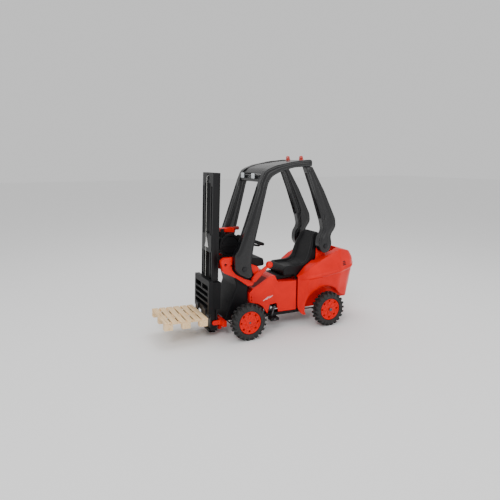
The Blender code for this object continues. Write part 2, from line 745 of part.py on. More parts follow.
def seat_rail(root):
    """The black base under the seat, standing on the centre body and the chassis post."""
    black = finish("black_plastic", BLACK, 0.55)
    outline = fillet(
        [(0.232, 0.2870), (0.232, 0.3070, 0.004), (0.500, 0.3070, 0.004), (0.500, 0.3008),
         (0.240, 0.2870)]
    )
    return plate("seat_rail", outline, "YZ", -0.080, 0.080, root, black)


def seat_shell(parent):
    """The one-piece seat: a cushion-shaped pan with raised sides and a rounded back."""
    black = finish("seat_plastic", BLACK, 0.5)
    w = SEAT_HALF_WIDTH
    side_view = fillet(
        [(0.276, 0.3085, 0.008), (0.272, 0.345, 0.02), (0.300, 0.366, 0.03), (0.400, 0.368, 0.03),
         (0.442, 0.385, 0.04),
         (0.470, 0.470, 0.06), (0.500, 0.548, 0.015), (0.545, 0.552, 0.015), (0.540, 0.470, 0.05),
         (0.520, 0.375, 0.03),
         (0.492, 0.3085, 0.01), (0.404, 0.3085), (0.404, 0.268, 0.006), (0.358, 0.268, 0.006),
         (0.350, 0.3085)]
    )
    seat = plate("seat_shell", side_view, "YZ", -0.2, 0.2, parent, black)
    front = fillet([(-w, 0.25), (-w, 0.48, 0.04), (-w + 0.018, 0.562, 0.07), (w - 0.018, 0.562, 0.07),
                    (w, 0.48, 0.04), (w, 0.25)], 3)
    boolean(seat, plate("seat_front_view", front, "XZ", -0.9, 0.9, parent, home="cutters"), "INTERSECT")
    under = box(
        "seat_under", (-w + 0.006, 0.32, 0.20), (w - 0.006, 0.46, 0.3095), parent, home="cutters"
    )
    scoop = fillet([(0.290, 0.50), (0.296, 0.3545, 0.02), (0.400, 0.3525, 0.03), (0.452, 0.372, 0.05),
                    (0.482, 0.470, 0.06),
                    (0.512, 0.545, 0.05), (0.52, 0.62)])
    hollow = plate("seat_scoop", scoop, "YZ", -0.074, 0.074, parent, home="cutters")
    return cut(seat, under, hollow)


def guard_outline():
    """The side view of a front pillar and of the roof rail that it bends into."""
    front = [(-0.062, 0.470, 0.02), (-0.038, 0.505, 0.03), (0.020, 0.660, 0.20), (0.094, 0.865, 0.06),
             (0.120, 0.925, 0.05), (0.190, 0.951, 0.10), (0.300, 0.972, 0.20), (0.418, 0.983, 0.012)]
    back = [(0.418, 0.9445), (0.300, 0.938, 0.20), (0.215, 0.915, 0.06), (0.160, 0.890, 0.06),
            (0.138, 0.850, 0.08),
            (0.100, 0.700, 0.30), (0.052, 0.510, 0.10), (0.036, 0.420, 0.04), (0.046, 0.356, 0.02),
            (0.026, 0.334, 0.015),
            (-0.036, 0.366, 0.02), (-0.060, 0.392, 0.02)]
    return fillet(front + back)


def guard_rail(word, side, root):
    """One front pillar and roof rail, with a long channel sunk into its front and inner faces."""
    black = finish("guard_plastic", BLACK, 0.3)
    low, high = sorted((side * 0.1145, side * (0.1145 + GUARD_THICKNESS)))
    rail = plate(f"guard_rail_{word}", guard_outline(), "YZ", low, high, root, black)
    channel = fillet([(-0.050, 0.520), (0.008, 0.660, 0.2), (0.080, 0.862, 0.06), (0.020, 0.905),
                      (-0.120, 0.66), (-0.120, 0.520)])
    low, high = sorted((side * 0.1225, side * 0.1525))
    shift = Matrix.Translation((0, 0.018, -0.004))
    cut(
        rail,
        plate(f"front_channel_{word}", channel, "YZ", low, high, root, home="cutters", matrix=shift),
    )
    bolt = (side * 0.15, 0.0 - 0.005, 0.392)
    cut(rail, cylinder(f"foot_bore_{word}", bolt, "X", 0.0055, 0.3, root, home="cutters", steps=16))
    return smooth(bevel(rail, 0.006, 1, 40))


def rear_pillar(word, side, root):
    """A bent rear pillar from under the roof rail's end to its bolted lobe beside the seat."""
    black = finish("guard_plastic", BLACK, 0.3)
    low, high = sorted((side * 0.1145, side * (0.1145 + GUARD_THICKNESS)))
    outline = fillet(
        [(0.376, 0.9418), (0.416, 0.9440), (0.424, 0.936, 0.01), (0.504, 0.806, 0.2), (0.590, 0.640, 0.06),
         (0.596, 0.590, 0.04),
         (0.560, 0.540, 0.03), (0.572, 0.480, 0.045), (0.545, 0.436, 0.045), (0.505, 0.436, 0.045),
         (0.478, 0.480, 0.045),
         (0.484, 0.530, 0.03), (0.510, 0.572, 0.04), (0.498, 0.625, 0.05), (0.435, 0.800, 0.2)]
    )
    pillar = plate(f"rear_pillar_{word}", outline, "YZ", low, high, root, black)
    channel = fillet(
        [(0.380, 0.905), (0.436, 0.770, 0.2), (0.490, 0.640, 0.1), (0.440, 0.640), (0.330, 0.905)]
    )
    low, high = sorted((side * 0.1225, side * 0.1525))
    shift = Matrix.Translation((0, 0.020, 0.0))
    cut(
        pillar,
        plate(f"rear_channel_{word}", channel, "YZ", low, high, root, home="cutters", matrix=shift),
    )
    cut(pillar, cylinder(f"lobe_bore_{word}", (side * 0.15, 0.525, 0.478), "X", 0.0055, 0.3, root,
                         home="cutters", steps=16))
    return smooth(bevel(pillar, 0.006, 1, 40))


def pillar_bolt(name, side, y, z, inner, outer, root):
    """A round-headed bolt through a pillar's foot; the head lies on the outer face."""
    black = finish("frame_paint", DARK, 0.5)
    length = outer - inner
    head = [
        (0.0, 0.0090), (0.007, 0.0082), (0.013, 0.0055), (0.0155, 0.0), (0.005, 0.0), (0.005, -length),
        (0.0, -length),
    ]
    matrix = Matrix.Translation((side * (outer + GAP), y, z)) @ toward((side, 0, 0))
    return smooth(turned(name, head, root, black, matrix, steps=14, closed=False))


def roof_panel(root):
    """The curved roof skin between the two roof rails."""
    black = finish("guard_plastic", BLACK, 0.3)
    outline = fillet(
        [(0.118, 0.9075, 0.01), (0.150, 0.934, 0.05), (0.200, 0.951, 0.10), (0.300, 0.967, 0.20),
         (0.424, 0.979), (0.424, 0.975),
         (0.300, 0.963, 0.20), (0.202, 0.947, 0.10), (0.154, 0.930, 0.05), (0.122, 0.9035)]
    )
    panel = plate("roof_panel", outline, "YZ", -0.1138, 0.1138, root, black)
    for k in range(3):
        rib = [
            (0.180, 0.9435), (0.300, 0.966), (0.410, 0.9765), (0.410, 0.969), (0.300, 0.955),
            (0.180, 0.932),
        ]
        x = (k - 1) * 0.055
        join(panel, plate(f"roof_rib_{k}", rib, "YZ", x - 0.002, x + 0.002, root))
    return smooth(panel)


def roof_crossbar(root):
    """The bar across the front of the roof that carries the two lamps."""
    black = finish("guard_plastic", BLACK, 0.3)
    outline = fillet([(0.100, 0.862, 0.006), (0.106, 0.898, 0.006), (0.124, 0.9025, 0.004),
                      (0.132, 0.896, 0.006),
                      (0.124, 0.858, 0.006)])
    return bevel(plate("roof_crossbar", outline, "YZ", -0.1138, 0.1138, root, black), 0.0012, 1)


def headlight(word, side, root):
    """A square lamp with a domed lens, on the front face of the crossbar."""
    lens = finish("lamp_lens", CLEAR, 0.15)
    x = side * 0.067
    lamp = box(
        f"headlight_{word}", (x - 0.0155, 0.0855, 0.878), (x + 0.0155, 0.0985, 0.908), root, lens
    )
    return bevel(lamp, 0.003, 2)


def beacon(word, side, root):
    """A small turned warning lamp on the roof rail's rear end."""
    profile = [
        (0.0, 0.027), (0.006, 0.0262), (0.0105, 0.022), (0.0118, 0.006), (0.0140, 0.005), (0.0140, 0.0),
        (0.0, 0.0),
    ]
    matrix = Matrix.Translation(
        (side * 0.074, 0.397, 0.9773)
    ) @ Matrix.Rotation(math.radians(5.5), 4, "X")
    red = finish("beacon_lens", BEACON, 0.15)
    return smooth(turned(f"beacon_{word}", profile, root, red, matrix, steps=14, closed=False))


def steering_wheel(pivot):
    """A round rim with three dished spokes and a hub, lying in the plane square to the column."""
    black = finish("black_plastic", BLACK, 0.55)
    wheel = turned("steering_wheel", [(STEERING_R - 0.010 + p.x, p.y) for p in circle(0, 0, 0.010,
                                                                                      8)][::-1],
                   pivot, black, steps=28)
    join(wheel, cylinder("wheel_hub", (0, 0, -0.020), "Z", 0.026, 0.024, pivot, steps=20, top=0.022))
    for k in range(3):
        angle = math.radians(90 + 120 * k)
        rise = [(0.015, -0.0285), (0.060, -0.022), (STEERING_R - 0.010, -0.005),
                (STEERING_R - 0.008, 0.004),
                (0.058, -0.013), (0.015, -0.016)]
        turn = Matrix.Rotation(angle, 4, "Z")
        join(wheel, plate(f"spoke_{k}", rise, "XZ", -0.013, 0.013, pivot, matrix=turn))
    return smooth(wheel)


def steering_column(pivot):
    """The column bar with its crank-shaped lower end, whose pin reaches into the tie rod's fork."""
    steel = finish("zinc_steel", STEEL, 0.35, 1.0)
    low = -0.468
    column = cylinder(
        "steering_column", (0, 0, (low - 0.0335) / 2), "Z", 0.0075, -0.0335 - low, pivot, steel,
        steps=16,
    )
    arm = fillet(
        [(-0.008, 0.008, 0.006), (-0.008, -0.027, 0.006), (0.008, -0.027, 0.006),
         (0.008, 0.008, 0.006)],
        3,
    )
    join(column, plate("pitman_arm", arm, "XY", low - 0.005, low + 0.001, pivot))
    join(column, cylinder("pitman_pin", (0, -0.020, low - 0.017), "Z", 0.003, 0.026, pivot, steps=12))
    return column


def mast_frame(pivot):
    """The two mast rails as one moulding: two slots, the web between them and the head."""
    black = finish("mast_plastic", BLACK, 0.4)
    w = MAST_HALF_WIDTH
    outline = fillet(
        [(-w, MAST_FOOT, 0.008), (-w, MAST_HEAD, 0.004), (w, MAST_HEAD, 0.004), (w, MAST_FOOT, 0.008)],
        2,
    )
    upper = fillet([(-SLOT_HALF, 0.497, 0.004), (-SLOT_HALF, 0.772, 0.004), (SLOT_HALF, 0.772, 0.004),
                    (SLOT_HALF, 0.497, 0.004)], 2)
    lower = fillet([(-SLOT_HALF, 0.030, 0.004), (-SLOT_HALF, 0.395, 0.004), (SLOT_HALF, 0.395, 0.004),
                    (SLOT_HALF, 0.030, 0.004)], 2)
    mast = plate(
        "mast_frame", outline, "XZ", -MAST_DEPTH / 2, MAST_DEPTH / 2, pivot, black, [upper, lower]
    )
    for word, side in sides():
        low, high = sorted((side * 0.053, side * 0.070))
        groove = box(
            f"rail_groove_{word}", (low, -0.03, 0.02), (high, -MAST_DEPTH / 2 + 0.004, 0.755), pivot,
            home="cutters",
        )
        cut(mast, groove)
        back = box(
            f"rail_channel_{word}", (low, MAST_DEPTH / 2 - 0.010, 0.02), (high, 0.03, 0.755), pivot,
            home="cutters",
        )
        cut(mast, back)
    cut(mast, box("pulley_slot", (-0.009, -0.03, 0.76), (0.009, 0.03, 0.8185), pivot, home="cutters"))
    cut(mast, cylinder("mast_bore", (0, 0, 0), "X", 0.0066, 0.3, pivot, home="cutters", steps=16))
    join(mast, cylinder("pulley_pin", PULLEY_AT, "X", 0.003, 0.024, pivot, steps=12))
    return mast


def mast_cover(pivot):
    """The thin plate across the front of the mast, over the web."""
    black = finish("mast_plastic", BLACK, 0.4)
    low, high = -MAST_DEPTH / 2 - 0.0020, -MAST_DEPTH / 2 - GAP
    outline = fillet(
        [(-0.074, 0.400, 0.004), (-0.074, 0.492, 0.004), (0.074, 0.492, 0.004), (0.074, 0.400, 0.004)],
        2,
    )
    return plate("mast_cover", outline, "XZ", low, high, pivot, black)


def mast_foot(pivot):
    """The black skid bolted under the mast."""
    black = finish("black_plastic", BLACK, 0.55)
    outline = fillet([(-0.030, -0.0565, 0.010), (-0.030, -0.0345, 0.006), (-0.0215, -0.0345),
                      (-0.0215, -0.0525 - GAP),
                      (0.012, -0.0525 - GAP), (0.012, -0.0600, 0.004)])
    return plate("mast_foot", outline, "YZ", -0.078, 0.078, pivot, black)


def top_pulley(spin):
    """The grooved sheave in the mast's head."""
    profile = [(0.0034, 0.006), (0.0125, 0.006), (0.0105, 0.0), (0.0125, -0.006), (0.0034, -0.006)]
    return smooth(
        turned("top_pulley", profile, spin, finish("zinc_steel", STEEL, 0.35, 1.0), toward("X"),
               steps=24)
    )


def rope_route():
    """The lifting rope in the mast's frame: up from the carriage, over the sheave, down to the drum."""
    y, z = PULLEY_AT[1], PULLEY_AT[2]
    radius = 0.0105 + ROPE_R + GAP
    start = math.radians(180)
    points = [(0, y - radius, CARRIAGE_TOP + 0.004)]
    for k in range(9):
        angle = start - math.radians(170) * k / 8
        points.append((0, y + radius * math.cos(angle), z + radius * math.sin(angle)))
    return points


def lift_rope_front(pivot):
    """The front run of the rope, from the carriage to the sheave; it shortens as the carriage rises."""
    points = rope_route()
    top = (points[1][0], points[1][1], points[1][2] - 0.001)
    return tube("lift_rope_front", [points[0], top], ROPE_R, pivot, finish("rope", CLEAR, 0.8), sides=1)


def lift_rope_back(pivot):
    """The rope over the sheave and down through the upper slot into the winch housing."""
    points = [Vector(p) for p in rope_route()[1:]]
    end = Vector((0, DRUM_AT[1] - 0.056, DRUM_AT[2] + 0.032))
    return tube("lift_rope_back", [*points, end], ROPE_R, pivot, finish("rope", CLEAR, 0.8), sides=1)


def winch_housing(pivot):
    """A round casing with an open centre for the drum, and the bracket that holds it to the web."""
    black = finish("black_plastic", BLACK, 0.55)
    outline = circle(DRUM_AT[1], DRUM_AT[2], DRUM_HOUSING_R, 28)
    housing = plate("winch_housing", outline, "YZ", -0.055, 0.055, pivot, black)
    bracket = box(
        "winch_bracket", (-0.036, MAST_DEPTH / 2 + GAP, 0.402), (0.036, DRUM_AT[1] - 0.04, 0.470), pivot
    )
    join(housing, bracket)
    cut(housing, cylinder("drum_space", DRUM_AT, "X", 0.0525, 0.2, pivot, home="cutters", steps=20))
    low, high = (
        -0.006, DRUM_AT[1] - 0.080, DRUM_AT[2] + 0.026
    ), (0.006, DRUM_AT[1] - 0.040, DRUM_AT[2] + 0.060)
    slot = box("rope_slot", low, high, pivot, home="cutters")
    cut(housing, slot)
    hub_at = (0, LEVER_AT[1], LEVER_AT[2])
    for word, side in sides():
        low, high = sorted((side * 0.022, side * 0.030))
        post = box(
            f"lever_post_{word}", (low, LEVER_AT[1] - 0.010, DRUM_AT[2] + 0.045),
            (high, LEVER_AT[1] + 0.010, LEVER_AT[2] + 0.008), pivot,
        )
        join(housing, post)
    join(housing, cylinder("lever_pin", hub_at, "X", 0.0035, 0.050, pivot, steps=12))
    for word, side in sides():
        low, high = sorted((side * 0.0515, side * 0.055))
        bar = box(
            f"drum_bar_{word}", (low, DRUM_AT[1] - 0.054, DRUM_AT[2] - 0.006),
            (high, DRUM_AT[1] + 0.054, DRUM_AT[2] + 0.006), pivot,
        )
        join(housing, bar)
    join(housing, cylinder("drum_axle", DRUM_AT, "X", 0.005, 0.110, pivot, steps=16))
    return housing


def winch_drum(spin):
    """The rope drum between its two flanges."""
    profile = [(0.0054, 0.050), (0.050, 0.050), (0.050, 0.046), (0.032, 0.044), (0.032, -0.044),
               (0.050, -0.046),
               (0.050, -0.050), (0.0054, -0.050)]
    return smooth(
        turned("winch_drum", profile, spin, finish("black_plastic", BLACK, 0.55), toward("X"), steps=20)
    )


def winch_lever(pivot):
    """The red ratchet lever: hub at the front, a tapered arm and a raised end that carries the grip."""
    red = finish("red_plastic", RED, 0.3)
    outline = fillet(
        [(-0.010, -0.009, 0.008), (-0.010, 0.010, 0.008), (0.078, 0.012, 0.003), (0.078, -0.014, 0.006)]
    )
    lever = plate("winch_lever", outline, "YZ", -0.019, 0.019, pivot, red, [circle(0, 0, 0.0039, 12)])
    return bevel(lever, 0.0015, 1, 50)


def winch_grip(pivot):
    """The turned grip on the lever's end."""
    profile = [
        (0.0, 0.034), (0.009, 0.033), (0.011, 0.030), (0.0095, 0.015), (0.011, 0.003), (0.010, 0.0),
        (0.0, 0.0),
    ]
    matrix = Matrix.Translation((0, 0.0785, 0.006)) @ toward((0, 1, 0.08))
    return smooth(turned("winch_grip", profile, pivot, finish("grip_red", (0.35, 0.02, 0.02), 0.5),
                         matrix, steps=14, closed=False))


def fork_carriage(slide):
    """The louvred backrest with its two guide shoes, which hook round the mast's rails."""
    black = finish("black_plastic", BLACK, 0.55)
    w = 0.115
    outline = fillet(
        [(-w, 0.060, 0.006), (-w, CARRIAGE_TOP, 0.008), (w, CARRIAGE_TOP, 0.008), (w, 0.060, 0.006)], 2
    )
    slots = [
        fillet(
            [(low, 0.190, 0.003), (low, 0.217, 0.003), (high, 0.217, 0.003), (high, 0.190, 0.003)], 1
        )
        for low, high in ((-0.098, -0.008), (0.008, 0.098))
    ]
    for k in range(3):
        z = 0.156 - 0.033 * k
        slots.append(fillet([(-0.098, z, 0.003), (-0.098, z + 0.023, 0.003), (0.098, z + 0.023, 0.003),
                             (0.098, z, 0.003)], 1))
    front, back = -0.0470, -0.0240
    grille = plate("fork_carriage", outline, "XZ", front, back, slide, black, slots)
    d = MAST_DEPTH / 2
    for word, side in sides():
        inner, outer, lip = MAST_HALF_WIDTH + 0.001, MAST_HALF_WIDTH + 0.014, 0.060
        hook = [(side * inner, back - 0.002), (side * outer, back - 0.002), (side * outer, d + 0.010),
                (side * lip, d + 0.010),
                (side * lip, d + 0.001), (side * inner, d + 0.001)]
        join(grille, plate(f"guide_shoe_{word}", hook, "XY", 0.080, 0.234, slide))
    eye = box(
        "rope_anchor", (-0.010, -0.036, CARRIAGE_TOP - 0.01), (0.010, -0.0242, CARRIAGE_TOP + 0.003),
        slide,
    )
    join(grille, eye)
    return grille


def fork(word, side, slide):
    """One L-shaped fork: a shank on the backrest's front and a blade with a tapered tip."""
    steel = finish("fork_paint", BLACK, 0.45)
    x = side * 0.060
    outline = fillet(
        [(-0.0475, 0.0285, 0.004), (-0.0475, 0.086), (-0.0540, 0.086, 0.003), (-0.0540, 0.0390),
         (-0.282, 0.0390),
         (-0.290, 0.0350, 0.002), (-0.290, 0.0320, 0.002), (-0.200, 0.0285, 0.05)]
    )
    return plate(f"fork_{word}", outline, "YZ", x - 0.0225, x + 0.0225, slide, steel)


def pallet(slide):
    """A wooden pallet: six deck boards on three bearers, each bearer on three blocks."""
    wood = finish("pallet_wood", WOOD, 0.7)
    rear, length, w = -0.0560, 0.241, 0.135
    deck_low, deck_high = 0.0402, 0.0490
    board, boards = 0.0330, 6
    pitch = (length - board) / (boards - 1)
    rows = (-0.118, 0.0, 0.118)
    bearers = [box("bearer", (x - 0.015, rear - length + 0.001, 0.0365),
                   (x + 0.015, rear - 0.001, 0.0425), slide) for x in rows]
    whole = bearers[0]
    whole.name = "pallet"
    whole.data.materials.append(wood)
    join(whole, *bearers[1:])
    for k in range(boards):
        y = rear - pitch * k
        join(whole, box(f"deck_{k}", (-w, y - board, deck_low), (w, y, deck_high), slide))
    for x in rows:
        for k in range(3):
            y = rear - 0.0005 - k * (length - 0.046 - 0.001) / 2
            join(whole, box("block", (x - 0.0155, y - 0.046, 0.004), (x + 0.0155, y, 0.038), slide))
    return whole


def tilt_lever(pivot):
    """The red tilt lever: a gusset that narrows to an arm with a ball on its end."""
    red = finish("red_plastic", RED, 0.3)
    outline = fillet([(-0.012, -0.014, 0.012), (0.014, -0.016, 0.012), (0.104, 0.070, 0.004),
                      (0.096, 0.080, 0.004),
                      (0.040, 0.044, 0.02), (0.024, 0.040, 0.010), (-0.006, 0.014, 0.010)])
    lever = plate("tilt_lever", outline, "YZ", -0.0055, 0.0055, pivot, red, [circle(0, 0, 0.0047, 12)])
    bm = bmesh.new()
    bmesh.ops.create_uvsphere(bm, u_segments=16, v_segments=10, radius=0.0205)
    ball = new_object(
        "lever_ball", mesh_of(bm, "lever_ball"), pivot, Matrix.Translation((0.0, 0.102, 0.076))
    )
    return join(lever, ball)


def lever_pin(root):
    """The shouldered pin that the tilt lever turns on, moulded on the left cheek."""
    profile = [
        (0.0, 0.0195), (0.008, 0.0190), (0.009, 0.0163), (0.0042, 0.0163), (0.0042, -0.0130),
        (0.0, -0.0130),
    ]
    matrix = Matrix.Translation((0.1258, LEVER_PIVOT[1], LEVER_PIVOT[2])) @ toward("X")
    return turned("lever_pin", profile, root, None, matrix, steps=16, closed=False)


def build():
    """Places every piece; each empty stands on the axis that its pieces turn or slide on."""
    root = empty("vehicle", (0, FRONT_AXLE_Y, 0))
    for piece in (chassis_frame, front_cross_beam, front_cowl, dash_console, body_shell, rear_hood,
                  chain_guard,
                  seat_rail, roof_panel, roof_crossbar, chain):
        piece(root)
    for word, side in sides():
        dash_cheek(word, side, root)
        guard_rail(word, side, root)
        rear_pillar(word, side, root)
        headlight(word, side, root)
        beacon(word, side, root)
        outer = 0.1145 + GUARD_THICKNESS
        pillar_bolt(f"front_bolt_{word}", side, -0.005, 0.392, 0.1160, outer, root)
        pillar_bolt(f"rear_bolt_{word}", side, 0.525, 0.478, 0.1160, outer, root)
        pivot = empty(f"kingpin_axis_{word}", (side * KINGPIN_X, 0, AXLE_Z), root)
        steering_knuckle(word, side, pivot)
        spin = empty(f"front_wheel_axis_{word}", (side * (WHEEL_X - KINGPIN_X), 0, 0), pivot)
        road_wheel(f"front_{word}", spin, side, 0.0066)
        rear_spin = empty(f"rear_wheel_axis_{word}", (side * WHEEL_X, WHEELBASE, AXLE_Z), root)
        road_wheel(f"rear_{word}", rear_spin, side, 0.0066)
    tie_rod(empty("tie_rod_slide", (0, -0.050, 0.057), root))
    axle = empty("rear_axle_axis", (0, WHEELBASE, AXLE_Z), root)
    rear_axle(axle)
    toothed_disc(
        "rear_sprocket", axle, CHAIN_X, SPROCKET_R, 13, finish("zinc_steel", STEEL, 0.35, 1.0), 0.0066
    )
    crank_axis = empty("crank_axis", (0, CRANK_Y, CRANK_Z), root)
    pedal_crank(crank_axis)
    toothed_disc(
        "chainwheel", crank_axis, CHAIN_X, CHAINWHEEL_R, 22, finish("zinc_steel", STEEL, 0.35, 1.0),
        0.0064,
    )
    for word, side in sides():
        at = (side * 0.155, -side * 0.3210 * CRANK_R, -side * 0.9471 * CRANK_R)
        pedal(word, empty(f"pedal_axis_{word}", at, crank_axis))
    column = empty("steering_axis", WHEEL_CENTRE, root, Matrix.Rotation(-COLUMN_TILT, 4, "X"))
    steering_wheel(column)
    steering_column(column)
    tilt = empty("mast_axis", MAST_PIVOT, root, Matrix.Rotation(-MAST_TILT, 4, "X"))
    for piece in (mast_frame, mast_cover, mast_foot, lift_rope_front, lift_rope_back, winch_housing):
        piece(tilt)
    top_pulley(empty("pulley_axis", PULLEY_AT, tilt))
    winch_drum(empty("drum_axis", DRUM_AT, tilt))
    lever_axis = empty("winch_lever_axis", LEVER_AT, tilt)
    winch_lever(lever_axis)
    winch_grip(lever_axis)
    slide = empty("carriage_slide", (0, 0, 0), tilt)
    fork_carriage(slide)
    for word, side in sides():
        fork(word, side, slide)
    pallet(empty("pallet_slide", (0, 0, 0), slide))
    tilt_lever(empty("tilt_lever_axis", LEVER_PIVOT, root))
    seat_shell(empty("seat_slide", (0, 0, 0), root))


clear_scene()
HOMES = {"parts": collection(VEHICLE), "cutters": collection("cutters")}
build()
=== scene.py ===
import json
import math
import random

import bmesh
import bpy
from mathutils import Matrix, Vector
from mathutils.bvhtree import BVHTree
from mathutils.kdtree import KDTree


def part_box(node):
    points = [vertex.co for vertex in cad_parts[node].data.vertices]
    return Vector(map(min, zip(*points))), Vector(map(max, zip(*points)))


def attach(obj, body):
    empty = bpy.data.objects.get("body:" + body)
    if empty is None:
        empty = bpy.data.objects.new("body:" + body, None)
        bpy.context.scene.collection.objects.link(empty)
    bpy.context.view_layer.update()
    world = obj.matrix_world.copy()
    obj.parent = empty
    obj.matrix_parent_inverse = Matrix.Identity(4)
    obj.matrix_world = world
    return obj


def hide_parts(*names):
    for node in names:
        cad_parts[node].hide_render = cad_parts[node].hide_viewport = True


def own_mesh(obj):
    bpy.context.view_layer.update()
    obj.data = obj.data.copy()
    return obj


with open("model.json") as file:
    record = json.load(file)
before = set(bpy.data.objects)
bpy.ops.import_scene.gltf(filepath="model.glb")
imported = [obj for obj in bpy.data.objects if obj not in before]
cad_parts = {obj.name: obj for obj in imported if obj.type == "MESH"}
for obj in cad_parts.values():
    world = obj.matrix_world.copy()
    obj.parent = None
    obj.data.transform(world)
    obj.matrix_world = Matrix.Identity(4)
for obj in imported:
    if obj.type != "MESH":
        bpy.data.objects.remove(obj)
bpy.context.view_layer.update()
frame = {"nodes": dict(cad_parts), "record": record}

RECORD = frame["record"]
JOINTS = {joint["name"]: joint for joint in RECORD["behaviour"]["joints"]}
NODE_BODY = {node: body for body, nodes in RECORD["behaviour"]["bodies"].items() for node in nodes}
SLOTS = {row["node"]: row["material_slot"] for row in RECORD["subparts"]}

# The camera stands at the vehicle's left front, a little under roof height.
FRONT_AXLE = Vector(JOINTS["front_wheel_left_spin"]["pos_m"])
CAMERA_AT = (2.33, FRONT_AXLE.y - 1.0265, 0.98)
CAMERA_AZIMUTH = math.radians(64.1)
CAMERA_PITCH = math.radians(11.3)
CAMERA_LENS = 32.5

RED = (0.76, 0.004, 0.0006)
BLACK = (0.0032, 0.0032, 0.0042)
SIDES = (("left", 1), ("right", -1))
SIDEWAYS = Vector((1, 0, 0))


# Small helpers

def smoothstep(x):
    """An even rise from 0 to 1 that starts and ends level."""
    x = min(1.0, max(0.0, x))
    return x * x * (3 - 2 * x)


def centre_of(node):
    low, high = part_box(node)
    return (low + high) / 2


def mast_matrix():
    """The mast's own frame at rest: its origin on the tilt axis, Z up along the rails."""
    along = Vector(JOINTS["carriage_lift"]["axis"])
    lean = math.atan2(along.y, along.z)
    return Matrix.Translation(JOINTS["mast_tilt"]["pos_m"]) @ Matrix.Rotation(-lean, 4, "X")


def onto_mast(bm):
    """Moves a shape that was drawn in the mast's own frame to its place in the scene."""
    bmesh.ops.transform(bm, matrix=mast_matrix(), verts=bm.verts)


# Materials

def shader_of(name):
    """A new material, its Principled shader, a function that adds a node and one that feeds the shader."""
    material = bpy.data.materials.new(name)
    material.use_nodes = True
    tree = material.node_tree
    shader = tree.nodes["Principled BSDF"]

    def add(kind, inputs=None, **settings):
        node = tree.nodes.new(kind)
        for key, value in settings.items():
            setattr(node, key, value)
        for key, value in (inputs or {}).items():
            socket = node.inputs[key]
            if isinstance(value, bpy.types.NodeSocket):
                tree.links.new(value, socket)
            else:
                socket.default_value = value
        return node

    def feed(output, name):
        tree.links.new(output, shader.inputs[name])

    return material, shader, add, feed


def ramp(add, factor, stops):
    """A colour ramp from (position, colour) stops."""
    node = add("ShaderNodeValToRGB", {"Fac": factor})
    elements = node.color_ramp.elements
    while len(elements) < len(stops):
        elements.new(0.5)
    for element, (position, colour) in zip(elements, stops):
        element.position = position
        element.color = (*colour, 1.0) if len(colour) == 3 else colour
    return node.outputs["Color"]


def grey(value):
    return (value, value, value)


def shade(colour, factor):
    """The colour made darker or lighter by a factor."""
    return tuple(min(1.0, channel * factor) for channel in colour)


def plastic(name, colour, roughness, gloss, grain, grain_depth, wear, coat=0.0):
    """Moulded plastic: flow marks in the colour, a fine surface grain and soft scuffs."""
    material, shader, add, feed = shader_of(name)
    where = add("ShaderNodeTexCoord").outputs["Object"]
    flow = add("ShaderNodeTexNoise", {"Vector": where, "Scale": 9.0, "Detail": 5.0, "Roughness": 0.55,
                                      "Distortion": 0.6})
    base = ramp(add, flow.outputs["Fac"], [(0.30, shade(colour, 0.88)), (0.70, shade(colour, 1.10))])
    scuff = add("ShaderNodeTexNoise", {"Vector": where, "Scale": 55.0, "Detail": 8.0, "Roughness": 0.72,
                                       "Distortion": 1.5})
    mask = ramp(add, scuff.outputs["Fac"], [(0.60, grey(0.0)), (0.74, grey(1.0))])
    amount = add("ShaderNodeMath", {0: mask, 1: wear * 0.35}, operation="MULTIPLY")
    lighter = add("ShaderNodeMix", {"Factor": amount.outputs[0], "A": base, "B": (*shade(colour, 1.5), 1)},
                  data_type="RGBA")
    feed(lighter.outputs["Result"], "Base Color")
    rough = add("ShaderNodeMapRange", {"Value": scuff.outputs["Fac"], "From Min": 0.35, "From Max": 0.75,
                                       "To Min": roughness - 0.03, "To Max": roughness + 0.08})
    feed(rough.outputs["Result"], "Roughness")
    fine = add("ShaderNodeTexNoise", {"Vector": where, "Scale": grain, "Detail": 3.0, "Roughness": 0.6})
    waves = add("ShaderNodeTexNoise", {"Vector": where, "Scale": 24.0, "Detail": 2.0})
    fine_bump = add("ShaderNodeBump", {"Height": fine.outputs["Fac"], "Strength": grain_depth,
                                       "Distance": 0.0015})
    bump = add("ShaderNodeBump", {"Height": waves.outputs["Fac"], "Strength": 0.05, "Distance": 0.01,
                                  "Normal": fine_bump.outputs["Normal"]})
    feed(bump.outputs["Normal"], "Normal")
    shader.inputs["Specular IOR Level"].default_value = gloss
    shader.inputs["Coat Weight"].default_value = coat
    shader.inputs["Coat Roughness"].default_value = 0.12
    return material


def rubber(name, colour=(0.014, 0.014, 0.014)):
    """Tyre compound: matt, dusty on the tread, with a moulded mottle."""
    material, _, add, feed = shader_of(name)
    where = add("ShaderNodeTexCoord").outputs["Object"]
    mottle = add("ShaderNodeTexNoise", {"Vector": where, "Scale": 70.0, "Detail": 8.0, "Roughness": 0.7})
    dust = add("ShaderNodeTexNoise", {"Vector": where, "Scale": 16.0, "Detail": 6.0, "Roughness": 0.65})
    mixed = add("ShaderNodeMath", {0: mottle.outputs["Fac"], 1: dust.outputs["Fac"]}, operation="MULTIPLY")
    dusty = (0.045, 0.042, 0.038)
    base = ramp(add, mixed.outputs[0], [(0.12, shade(colour, 0.7)), (0.30, colour), (0.46, dusty)])
    feed(base, "Base Color")
    rough = add("ShaderNodeMapRange", {"Value": mottle.outputs["Fac"], "To Min": 0.55, "To Max": 0.85})
    feed(rough.outputs["Result"], "Roughness")
    fine = add("ShaderNodeTexNoise", {"Vector": where, "Scale": 520.0, "Detail": 3.0})
    bump = add("ShaderNodeBump", {"Height": fine.outputs["Fac"], "Strength": 0.18, "Distance": 0.001})
    feed(bump.outputs["Normal"], "Normal")
    return material


